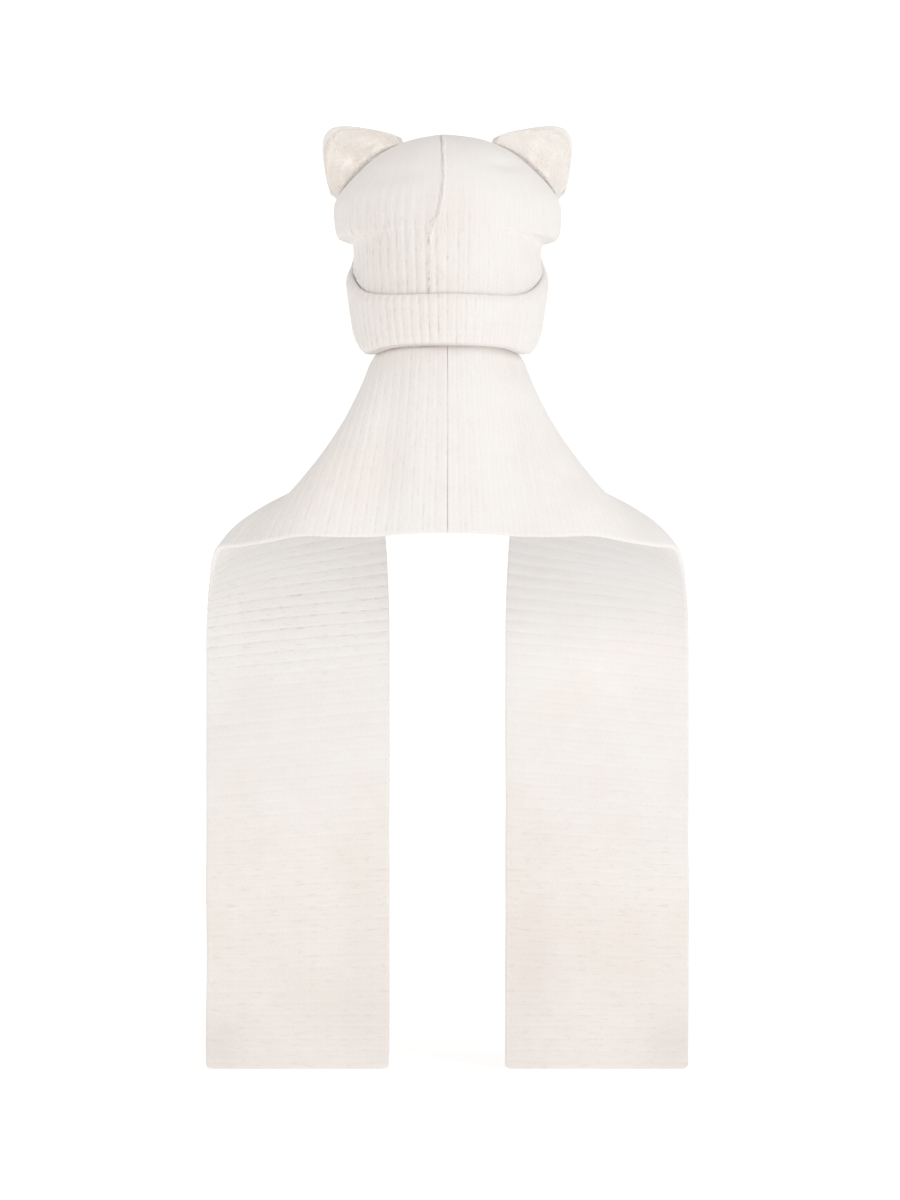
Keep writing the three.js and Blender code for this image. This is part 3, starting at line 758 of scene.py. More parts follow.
@dataclass(frozen=True)
class CapShape:
    """The outside of the cap as a surface of an angle, from the centre back, and a section, from the apex.

    The table holds the sections from the apex down. Down is a share of the height; wide, back and front are
    shares of the breadth and depths, widest the place of the broadest line as a share of the back's depth.
    Bulge and eased are shares of the corner's bulge, as far as the ears and ahead of them.
    """

    half_breadth: float = 86 * MM
    back: float = 107 * MM
    front: float = 100 * MM
    height: float = 194 * MM
    wall: float = 5 * MM
    corner_bulge: float = 18.5 * MM
    corner_spread: float = 0.75
    easing: tuple[float, float] = (1.78, 2.2)
    step: float = 0.01
    sections: Table = Table(
        "down wide back front widest bulge eased",
        (0.0, 0.0, 0.0, 0.0, 0.0, 0.0, 0.0),
        (0.008, 0.26, 0.24, 0.24, 0.0, 0.0, 0.0),
        (0.036, 0.49, 0.47, 0.46, 0.0, 0.0, 0.0),
        (0.088, 0.69, 0.67, 0.66, 0.0, 0.12, 0.12),
        (0.165, 0.83, 0.82, 0.82, -0.01, 0.42, 0.42),
        (0.248, 0.92, 0.91, 0.92, -0.02, 0.8, 0.78),
        (0.32, 0.965, 0.96, 0.97, -0.03, 1.0, 0.92),
        (0.403, 0.985, 0.99, 0.99, -0.04, 0.9, 0.8),
        (0.45, 0.985, 1.0, 1.0, -0.045, 0.82, 0.69),
        (0.475, 0.985, 1.0, 1.0, -0.05, 0.66, 0.62),
        (0.5, 0.98, 1.0, 1.0, -0.055, 0.06, 0.54),
        (0.6, 0.975, 0.99, 1.0, -0.07, 0.0, 0.24),
        (0.7, 0.955, 0.98, 0.99, -0.1, 0.0, 0.06),
        (0.83, 0.92, 0.94, 0.96, -0.17, 0.0, 0.0),
        (0.957, 0.885, 0.88, 0.9, -0.24, 0.0, 0.0),
        (1.06, 0.84, 0.84, 0.86, -0.27, 0.0, 0.0),
    )

    def column(self, name: str, section: Number) -> np.ndarray:
        """One column of the table at any section, by a smooth curve through its rows."""
        start_slope = 0 if name == "down" else None
        return Curve(np.arange(len(self.sections)), self.sections[name], start_slope)(section)

    def heights(self, section: Number) -> np.ndarray:
        """The height of each section above the origin."""
        return self.wall - self.column("down", section) * self.height

    def point(self, angle: Number, section: Number) -> np.ndarray:
        """Points of the outside.

        Each section is an oval of two half ellipses that meet where it is broadest. The bulge widens its
        sides by a normal curve of the angle. It ends in a crease below the ears, and eases out ahead of
        them.

        Args:
            angle: Radians from the centre back towards the wearer's right.
            section: Rows of the table, counted from the apex.

        Returns:
            Points, in the arguments' common shape by 3.
        """
        angle, section = np.broadcast_arrays(np.asarray(angle, float), np.asarray(section, float))
        side, aft = np.sin(angle), np.cos(angle)
        turned = np.abs((angle + np.pi) % TURN - np.pi)
        ahead = smooth_step(turned, *self.easing)
        bulge = self.column("bulge", section) * (1 - ahead) + self.column("eased", section) * ahead
        corner = bell(turned, np.pi / 2, self.corner_spread) * self.corner_bulge
        widest = self.column("widest", section) * self.back
        breadth = self.column("wide", section) * self.half_breadth + bulge * corner
        behind = self.column("back", section) * self.back + widest
        before = self.column("front", section) * self.front - widest
        depth = np.where(aft > 0, behind, before)
        return np.stack([breadth * side, widest - depth * aft, self.heights(section)], -1)

    def normal(self, angle: Number, section: Number) -> np.ndarray:
        """Outward normals, from differences of points both ways."""
        angle, section = np.broadcast_arrays(np.asarray(angle, float), np.asarray(section, float))
        low = np.maximum(section, self.step)
        along = self.point(angle + self.step, low) - self.point(angle - self.step, low)
        down = self.point(angle, low + self.step) - self.point(angle, low - self.step)
        return unit(np.cross(down, along))

    def off(self, angle: Number, section: Number, distance: Number) -> np.ndarray:
        """Points that stand a distance off the outside."""
        distance = np.asarray(distance, float)[..., None]
        return self.point(angle, section) + self.normal(angle, section) * distance

    def section_at(self, height: Number) -> np.ndarray:
        """The section at each height, read off a fine table."""
        fine = np.linspace(0, len(self.sections) - 1, 4000)
        return np.interp(-np.asarray(height, float), -self.heights(fine), fine)


@dataclass(frozen=True)
class BrimLine:
    """Where the brim's fold runs round the head, and how deep the turned-up flap is.

    The table holds shares of the rise to the brow and of the flap's depth, by degrees from the centre back.
    Sewn is the rise of the line that the scarf is sewn along.
    """

    cap: CapShape
    depth: float = 45 * MM
    brow_rise: float = 99.5 * MM
    fold_height: float = 9 * MM
    rows: Table = Table(
        "degrees rise depth sewn",
        (0, 0.0, 1.0, 0.0),
        (25, 0.0, 0.995, -0.025),
        (45, -0.015, 1.067, -0.075),
        (58, -0.04, 1.2, -0.085),
        (70, -0.045, 1.36, -0.045),
        (82, 0.075, 1.29, 0.075),
        (95, 0.23, 1.14, 0.23),
        (110, 0.42, 1.0, 0.42),
        (130, 0.69, 0.97, 0.69),
        (155, 0.92, 0.98, 0.92),
        (180, 1.0, 1.0, 1.0),
    )

    def _at(self, name: str, angle: Number) -> np.ndarray:
        """One column at an angle either side of the centre back."""
        turned = np.abs((np.asarray(angle, float) + np.pi) % TURN - np.pi)
        return Curve(np.radians(self.rows["degrees"]), self.rows[name], 0)(turned)

    def _level(self, name: str, angle: Number) -> np.ndarray:
        """The height of a line whose rise is in a column."""
        return self.cap.wall - self.cap.height + self._at(name, angle) * self.brow_rise

    def fold(self, angle: Number) -> np.ndarray:
        """The height of the fold's lowest line."""
        return self._level("rise", angle)

    def sewn_line(self, angle: Number) -> np.ndarray:
        """The height that the scarf's sewn edge follows inside the brim."""
        return self._level("sewn", angle)

    def flap(self, angle: Number) -> np.ndarray:
        """The upright depth of the flap, from the fold to the lip."""
        return self._at("depth", angle) * self.depth

    def lip(self, angle: Number) -> np.ndarray:
        """The height of the flap's lip."""
        return self.fold(angle) + self.flap(angle)


@dataclass
class Hood:
    """The cap with its turned-up brim and the seam down its back.

    The route gives how far the seam lies aside of the centre, as a share of the cap's half breadth, by the
    share of the way down to the lip. The dents' columns are millimetres.
    """

    cap: CapShape
    brim: BrimLine
    knit: RibKnit = RibKnit()
    cap_ribs: int = 56
    brim_ribs: int = 66
    columns_per_rib: int = 8
    course: float = 5.2 * MM
    rib_fade: tuple[float, float] = (4.2, 8.5)
    apex_relief: float = 0.1
    closed_relief: float = 0.45
    lumps: float = 0.8 * MM
    inside_rows: int = 40
    rim_gap: float = 0.8 * MM
    brim_clearance: float = 0.15 * MM
    brim_flare: float = 1.3 * MM
    brim_knit: float = 6.3 * MM
    brim_sway: float = 0.9 * MM
    section_steps: int = 88
    fold_roll: float = 1.4 * MM
    welt_width: float = 3.2 * MM
    welt_height: float = 2.5 * MM
    welt_sunk: float = 0.15 * MM
    welt_stitches: int = 38
    groove_aside: float = -2.4 * MM
    groove_depth: float = 1.5 * MM
    dulling: float = 0.07
    flat_depth: float = 0.235
    drawn_in: float = 0.72
    welt_route: Table = Table(
        "down aside",
        (0.09, -0.045),
        (0.29, -0.03),
        (0.44, -0.036),
        (0.575, -0.09),
        (0.65, -0.148),
        (0.77, -0.158),
        (0.97, -0.16),
    )
    dents: Table = Table(
        "across up wide high deep",
        (-46, -37, 24, 8, 3.4),
        (-22, -66, 12, 18, 1.2),
        (50, -27, 16, 6, 2.6),
        (-80, -118, 5, 14, 1.6),
        (30, -90, 22, 12, 0.6),
    )

    def lip_section(self) -> float:
        """The section that the brim's lip reaches at the centre back."""
        return float(self.cap.section_at(self.cap.wall - self.cap.height + self.brim.depth))

    def welt_aside(self, section: Number) -> np.ndarray:
        """How far the seam lies off the centre plane at a section."""
        down = np.clip(np.asarray(section, float) / self.lip_section(), 0.05, 1.0)
        return Curve(self.welt_route["down"], self.welt_route["aside"])(down) * self.cap.half_breadth

    def rib_height(self, open_and_left_shade: np.ndarray) -> np.ndarray:
        """The share of the ribs' full relief, by how far they lie open."""
        return self.closed_relief + (1 - self.closed_relief) * open_and_left_shade

    def warmth_and_painted_light(self, open_and_left_shade: np.ndarray) -> np.ndarray:
        """How warm the yarn looks, by how far the ribs lie open: warmer on the left, as painted warm shade
        on the side away from the key light.
        """
        return 0.2 + 0.45 * open_and_left_shade

    def groove(self, points: np.ndarray, section: np.ndarray) -> np.ndarray:
        """1 in the bottom of the groove beside the seam, 0 away from it; it closes towards the lip."""
        beside = points[..., 0] - self.welt_aside(section)
        closing = 1 - 0.8 * smooth_step(section / self.lip_section(), 0.5, 0.85)
        line = bell(beside, self.groove_aside, 0.65 * MM) * closing
        return np.where(points[..., 1] < 0, line, 0)

    def stitches(self, points: np.ndarray, section: np.ndarray, courses: np.ndarray) -> np.ndarray:
        """Painted shade in the gaps between the stitches beside the seam's lower end.

        Args:
            points: Points of the bare cap.
            section: Their sections.
            courses: Courses from the apex.

        Returns:
            1 in the darkest and 0 elsewhere.
        """
        beside = points[..., 0] - self.welt_aside(section)
        line = bell(beside, self.groove_aside, 0.9 * MM)
        line = line * smooth_step(section / self.lip_section(), 0.7, 0.8)
        gaps = np.clip(1.6 * Unevenness(seed=8, size=0.7)(courses, 0.0), 0, 1)
        return line * gaps * (points[..., 1] < 0)

    def dented(self, points: np.ndarray, section: Number) -> np.ndarray:
        """How far the crown's back is pushed in.

        Args:
            points: Points of the bare cap.
            section: Their sections.

        Returns:
            Metres inwards: soft bells at the dents, and the groove with its shoulder.
        """
        push = np.zeros(points.shape[:-1])
        for across, up, wide, high, deep in self.dents.rows * MM:
            push = push + deep * bell(points[..., 0], across, wide) * bell(points[..., 2], up, high)
        shoulder = bell(points[..., 0] - self.welt_aside(section), 0.0, 9 * MM) * 0.8 * MM
        push = push + self.groove(points, section) * self.groove_depth - shoulder
        return np.where(points[..., 1] < 0, push, 0)

    def resting(self, over_lip: np.ndarray, angle: np.ndarray) -> np.ndarray:
        """How far the crown bulges where it rests on the brim's lip, which it does more at the sides.

        Args:
            over_lip: Metres above the lip.
            angle: Radians from the centre back.

        Returns:
            Metres outwards: a normal curve of the height all round, and a broader one at the sides.
        """
        aside = bell(np.abs(np.degrees(angle)), 75, 25)
        all_round = bell(over_lip, 2.4 * MM, 1.8 * MM)
        return (all_round + 1.4 * aside * bell(over_lip, 3.2 * MM, 2.6 * MM)) * MM

    def crown(self) -> Shell:
        """The crown as a shell: outside from the apex to the rim, and back up inside.

        Rows run by share of the way to the rim, which is higher over the brow, and the ribs fade out
        towards the apex. Under the flap the crown is filled out to the knit's crests.

        Returns:
            The shell, closed to a point at both ends.
        """
        columns = self.cap_ribs * self.columns_per_rib
        angle = round_angles(columns)[None, :]
        rim_level = self.brim.fold(angle) + self.brim.fold_height + self.rim_gap
        rim = self.cap.section_at(rim_level)
        share = np.concatenate([np.linspace(0.004, 0.05, 6), np.linspace(0.07, 1, 104)])[:, None]
        section = rim * share
        bare = self.cap.point(angle, section)
        run = np.cumsum(np.linalg.norm(np.diff(bare, axis=0, prepend=bare[:1]), axis=-1), 0)
        courses = run / self.course
        ribs = self.cap_ribs * (angle + np.pi) / TURN + 0 * section
        fade = smooth_step(section, *self.rib_fade)
        open_and_left_shade = openness_and_left_shade(bare[..., 0])
        relief = (self.apex_relief + (1 - self.apex_relief) * fade) * self.rib_height(open_and_left_shade)
        lumps = Unevenness(seed=11, size=0.06)(bare[..., 0], bare[..., 2]) * self.lumps * fade
        out = self.knit.offset(ribs, courses, 1) * relief - self.dented(bare, section) + lumps
        over_lip = bare[..., 2] - self.brim.lip(angle)
        covered = smooth_step(-over_lip, -0.5 * MM, 2 * MM)
        out = out + (self.knit.relief - out) * covered + self.resting(over_lip, angle)
        outside = self.cap.off(angle, section, out)
        inner_section = rim * np.linspace(1, 0.02, self.inside_rows)[:, None]
        inside = self.cap.off(angle, inner_section, -self.cap.wall + 0 * inner_section)
        outside[-1, :, 2] = rim_level[0]
        inside[0, :, 2] = rim_level[0]
        across = self.cap_ribs * (np.arange(columns + 1) / columns)[None, :]
        along = np.concatenate([courses, courses[-1] + 1 + np.arange(self.inside_rows)[:, None]])
        along = np.concatenate([along, along[:, :1]], 1)
        within = np.zeros(inside.shape[:2])
        # Painted shade in dark brown in the groove beside the seam and in the gaps between its stitches.
        seam_shade = 0.1 * self.groove(bare, section) + 0.5 * self.stitches(bare, section, courses)
        marks = {
            "depth": np.concatenate([1 - (1 - self.knit.depth(ribs, 1)) * fade, within + 0.6]),
            "warmth_and_painted_light": np.concatenate([self.warmth_and_painted_light(open_and_left_shade), within]),
            "open_ribs_and_left_shade": np.concatenate([open_and_left_shade * fade, within]),
            "painted_shade_and_soil": np.concatenate([seam_shade, within]),
            "grey_and_painted_shade": np.full((len(share) + self.inside_rows, columns), self.dulling),
        }
        return Shell(np.concatenate([outside, inside]), knit_map(across, along), Ends.POLE, marks)

    def brim_section(self) -> np.ndarray:
        """The brim's section, a J: a path through its corners, dense and then rounded by a running mean.

        Returns:
            One row a step, of four numbers: how far off the cap, a fixed height over the fold, a share of
            the flap's depth, and how much of the ribs' relief shows.
        """
        wall = self.cap.wall
        roll = self.fold_roll
        fold = self.brim.fold_height
        flap_in = self.brim_clearance + self.knit.relief
        flap_out = flap_in + self.brim_knit
        corners = np.array(
            [
                (-wall, fold, 0, 0),
                (-wall - roll, 0.4 * fold, 0, 0),
                (-wall - 0.4 * roll, 0.06 * fold, 0, 0.2),
                (-0.6 * wall, 0, 0, 0.5),
                (flap_out - 0.55 * wall, 0, 0, 0.8),
                (flap_out, 0.4 * fold, 0, 1),
                (flap_out, 0, 0.35, 1),
                (flap_out, 0, 0.65, 1),
                (flap_out, 0, 0.84, 1),
                (flap_out - 0.5 * wall, 0, 0.95, 1),
                (flap_in + 0.28 * wall, 0, 0.998, 0.7),
                (flap_in, 0, 0.985, 0),
                (flap_in, 0, 0.5, 0),
                (flap_in, fold, 0, 0),
                (-wall, fold, 0, 0),
            ]
        )
        off = corners[:, 0]
        height = corners[:, 1] + corners[:, 2] * self.brim.depth
        run = np.cumsum(np.hypot(np.diff(off, prepend=off[0]), np.diff(height, prepend=height[0])))
        dense = 8
        fine = np.linspace(0, run[-1], dense * self.section_steps, endpoint=False)
        path = np.stack([np.interp(fine, run, corner) for corner in corners.T], -1)
        reach = 9
        kernel = np.ones(2 * reach + 1) / (2 * reach + 1)
        padded = np.concatenate([path[-reach:], path, path[:reach]])
        rounded = np.stack([np.convolve(column, kernel, "valid") for column in padded.T], -1)
        return rounded[::dense]

    def turned_up(self) -> Shell:
        """The brim as a ring: its section carried round the cap at the fold's height.

        Returns:
            The shell, its last row joined to its first.
        """
        columns = self.brim_ribs * self.columns_per_rib
        angle = round_angles(columns)[None, :]
        off, fixed, share, ribbed = (column[:, None] for column in self.brim_section().T)
        flap = self.brim.flap(angle)
        height = fixed + share * flap
        ribs = self.brim_ribs * (angle + np.pi) / TURN + 0 * height
        spacing = self.brim.depth * 2.3 / len(height) / self.course
        courses = np.arange(len(height))[:, None] * spacing + 0 * ribs
        circle = (np.sin(angle) * 0.1, np.cos(angle) * 0.1)
        sway = Unevenness(seed=23, size=0.09)(*circle) * self.brim_sway * share
        lift = off + self.brim_flare * (height / flap) ** 2 * ribbed + sway * (1 - share) * 2
        level = self.brim.fold(angle) + height + sway
        section = self.cap.section_at(level)
        open_and_left_shade = openness_and_left_shade(self.cap.point(angle, section)[..., 0])
        lift = lift + self.knit.offset(ribs, courses, 1) * ribbed * self.rib_height(open_and_left_shade)
        points = self.cap.off(angle, section, lift)
        points[..., 2] = level
        across = self.brim_ribs * (np.arange(columns + 1) / columns)[None, :]
        along = np.arange(len(height) + 1)[:, None] * spacing
        depth = 1 - (1 - self.knit.depth(ribs, 1)) * ribbed
        marks = {
            "depth": depth,
            "warmth_and_painted_light": self.warmth_and_painted_light(open_and_left_shade),
            "open_ribs_and_left_shade": open_and_left_shade,
            # Painted shadow along the underside of the brim's fold, stronger on the left.
            "painted_shade_and_soil": bell(height, 0, 1.6 * MM) * 0.3 * open_and_left_shade,
            "grey_and_painted_shade": np.full(depth.shape, self.dulling),
        }
        return Shell(points, knit_map(across, along), Ends.RING, marks)

    def welt(self) -> Shell:
        """The crown's seam: a half-round welt carried down its route, pinched by the stitches that hold it.

        Returns:
            The shell, with its loops round the welt, flat at the ends.
        """
        keys = self.welt_route["down"]
        steps = 420
        section = self.lip_section() * np.linspace(keys[0], keys[-1], steps)[:, None]
        far = np.linspace(0, 1, steps)[:, None]
        turn = np.linspace(0, np.pi, 11)[None, :]
        taper = np.minimum(1, 0.3 + np.minimum(far, 1 - far) * 5.2)
        stitched = 0.86 + 0.14 * np.abs(np.sin(np.pi * far * self.welt_stitches)) ** 0.7
        wander = Unevenness(seed=5, size=0.05)(far, 0.0) * 0.5 * MM
        across = self.welt_width / 2 * np.cos(turn) * stitched + wander
        high = self.welt_height * np.sin(turn) * taper * stitched
        breadth = np.maximum(self.cap.point(np.pi / 2, section)[..., 0], MM)
        angle = np.arcsin(np.clip((self.welt_aside(section) + across) / breadth, -1, 1))
        clear = self.knit.relief * smooth_step(section, 2.2, 6.5) * 0.6 - self.welt_sunk
        upper = self.cap.off(angle, section, clear + high)
        lower = self.cap.off(angle[:, ::-1], section, clear - MM + 0 * angle)
        points = np.concatenate([upper, lower], 1)
        around = np.linspace(0, 1, points.shape[1] + 1)[None, :]
        raised = 0.35 + 0.65 * np.sin(turn) * stitched
        depth = np.concatenate([raised, np.zeros(angle.shape)], 1)
        marks = {"depth": depth, "warmth_and_painted_light": 0.2 + 0 * depth}
        return Shell(points, knit_map(around, far * self.welt_stitches), Ends.FLAT, marks)

    def build(self, material: bpy.types.Material) -> None:
        """Args:
            material: The knit's finish.
        """
        crown = wear(self.crown().build("hood_crown"), material, "knit", "crown")
        brim = wear(self.turned_up().build("hood_brim"), material, "knit", "brim")
        wear(self.welt().build("hood_crown_seam"), material, "knit", "crown_seam")


def round_angles(columns: int) -> np.ndarray:
    """Angles all the way round from the centre front, without the last one that closes the loop."""
    return (np.arange(columns) / columns * 2 - 1) * np.pi


# The scarf


@dataclass(frozen=True)
class ScarfShape:
    """The middle surface of the scarf's right half, by the length from the centre-back seam and across.

    Two edges run from the seam to the hem: the inner one is sewn inside the brim as far as sewn_angle and
    then free, and the outer one is the cape's hem and then the panel's outside edge. A rib runs from one to
    the other. Out, aft and down lead from the inner edge to the outer one, and hollow and arch are the rib's
    bends near each, all as shares of the width. Along the free edge, across is a share of half the panels'
    gap, forward a share of the chest's reach and below a share of the width.
    """

    cap: CapShape
    brim: BrimLine
    width: float = 171 * MM
    half_length: float = 790 * MM
    panel_gap: float = 108 * MM
    chest_reach: float = 119 * MM
    knit: float = 4.6 * MM
    relief: float = 1.1 * MM
    seam_clearance: float = 3.1 * MM
    seam_tuck: float = 8 * MM
    sewn_angle: float = 62
    hem_level: float = -372 * MM
    step: float = 0.5 * MM
    sewn: Table = Table(
        "sewn out aft down hollow arch",
        (0.0, 0.0, 0.117, 1.007, -0.01, 0.0),
        (0.34, 0.059, 0.125, 1.001, -0.01, 0.0),
        (0.68, 0.118, 0.152, 0.984, -0.01, 0.0),
        (1.0, 0.22, 0.23, 0.98, 0.0, 0.015),
    )
    free: Table = Table(
        "across forward below out aft down hollow arch",
        (1.25, -0.269, 0.132, 0.36, 0.322, 0.889, -0.005, 0.02),
        (1.25, -0.059, 0.278, 0.529, 0.38, 0.77, 0.005, 0.03),
        (1.213, 0.134, 0.442, 0.69, 0.386, 0.626, -0.01, 0.035),
        (1.157, 0.319, 0.617, 0.825, 0.351, 0.465, -0.02, 0.09),
        (1.102, 0.487, 0.81, 0.892, 0.269, 0.343, 0.005, 0.09),
        (1.056, 0.647, 1.015, 0.934, 0.175, 0.23, 0.0, 0.045),
        (1.019, 0.79, 1.237, 0.971, 0.088, 0.135, 0.0, 0.03),
        (1.0, 0.899, 1.471, 0.993, 0.035, 0.094, 0.0, 0.02),
        (1.0, 0.966, 1.705, 0.998, 0.009, 0.094, 0.0, 0.01),
        (1.0, 0.995, 1.95, 1.0, 0.0, 0.092, 0.0, 0.0),
    )

    def both(self, name: str) -> np.ndarray:
        """One column over both tables."""
        return np.concatenate([self.sewn[name], self.free[name]])

    def stations(self) -> tuple[np.ndarray, np.ndarray, np.ndarray]:
        """The rows of both tables as places.

        Returns:
            The inner edge's points, the outer edge's points, and for each station how far the rib between
            them bends near the inner and near the outer edge, in metres.
        """
        angle = self.sewn["sewn"] * np.radians(self.sewn_angle)
        level = self.brim.sewn_line(angle) + self.seam_tuck
        inwards = self.cap.wall + self.seam_clearance + self.knit / 2 + self.relief
        fold_shadow = self.cap.off(angle, self.cap.section_at(level), -inwards + 0 * angle)
        fold_shadow[:, 2] = level
        across = self.free["across"] * self.panel_gap / 2
        forward = self.free["forward"] * self.chest_reach
        height = self.brim.sewn_line(0.0) + self.seam_tuck - self.free["below"] * self.width
        inner = np.concatenate([fold_shadow, np.stack([across, forward, height], -1)])
        lead = np.stack([self.both("out"), -self.both("aft"), -self.both("down")], -1) * self.width
        bends = np.stack([self.both("hollow"), self.both("arch")], -1) * self.width
        return inner, inner + lead, bends

    def edges(self, length: Number) -> tuple[np.ndarray, np.ndarray, np.ndarray]:
        """Both edges at each length from the seam.

        Smooth curves run through the stations. A fine table of the outer edge's length finds the station
        for a length. Past the last station the panel hangs straight down, and its ribs come level towards
        the hem.

        Args:
            length: Metres from the centre-back seam.

        Returns:
            Inner points, outer points and the two bends, each in the lengths' shape by 3, 3 and 2.
        """
        inner, outer, bends = self.stations()
        keys = np.arange(len(inner))
        fine = np.linspace(0, keys[-1], 2000)

        def through(values: np.ndarray, at: np.ndarray) -> np.ndarray:
            """A curve through each column of values."""
            return np.stack([Curve(keys, column)(at) for column in values.T], -1)

        path = through(outer, fine)
        run = np.cumsum(np.linalg.norm(np.diff(path, axis=0, prepend=path[:1]), axis=-1))
        length = np.asarray(length, float)
        station = np.interp(length, run, fine)
        near_inner, near_outer, near_bends = (through(v, station) for v in (inner, outer, bends))
        fallen = np.maximum(length - run[-1], 0)
        share = fallen / (self.half_length - run[-1])
        slant = inner[-1, 2] - outer[-1, 2]
        settled = smooth_step(share, 0, 0.2)
        hung = fallen > 0
        for near, last in ((near_inner, inner[-1]), (near_outer, outer[-1])):
            straight = last[1] + (self.chest_reach - last[1]) * settled
            near[..., 1] = np.where(hung, straight, near[..., 1])
        near_outer[..., 2] -= fallen
        levelling = near_outer[..., 2] + slant * (1 - share)
        near_inner[..., 2] = np.where(hung, levelling, near_inner[..., 2])
        return near_inner, near_outer, near_bends

    def point(self, length: np.ndarray, across: np.ndarray) -> np.ndarray:
        """Points of the middle surface.

        A rib is the straight line between the edges plus a cubic bend along the strip's normal, which is
        nothing at both edges.

        Args:
            length: Metres from the seam, rows by 1.
            across: 0 on the inner edge and 1 on the outer one, 1 by columns or rows by columns.

        Returns:
            Points, rows by columns by 3.
        """
        inner, outer, bends = self.edges(length[:, 0])
        back = self.edges(np.maximum(length[:, 0] - self.step, 0))
        on = self.edges(length[:, 0] + self.step)
        chord = outer - inner
        normal = unit(np.cross(chord, on[0] + on[1] - back[0] - back[1]))
        rest = 1 - across
        bend = 6.75 * (bends[:, :1] * across * rest**2 + bends[:, 1:] * across**2 * rest)
        flat = inner[:, None] + chord[:, None] * across[..., None]
        return flat + normal[:, None] * bend[..., None]

    def normal(self, length: np.ndarray, across: np.ndarray) -> np.ndarray:
        """Normals of the middle surface, outwards over the nape and forwards on the panels' hidden side."""
        low, high = np.maximum(across - 0.01, 0), np.minimum(across + 0.01, 1)
        outwards = self.point(length, high) - self.point(length, low)
        before = np.maximum(length - self.step, 0)
        along = self.point(length + self.step, across) - self.point(before, across)
        return unit(np.cross(outwards, along))


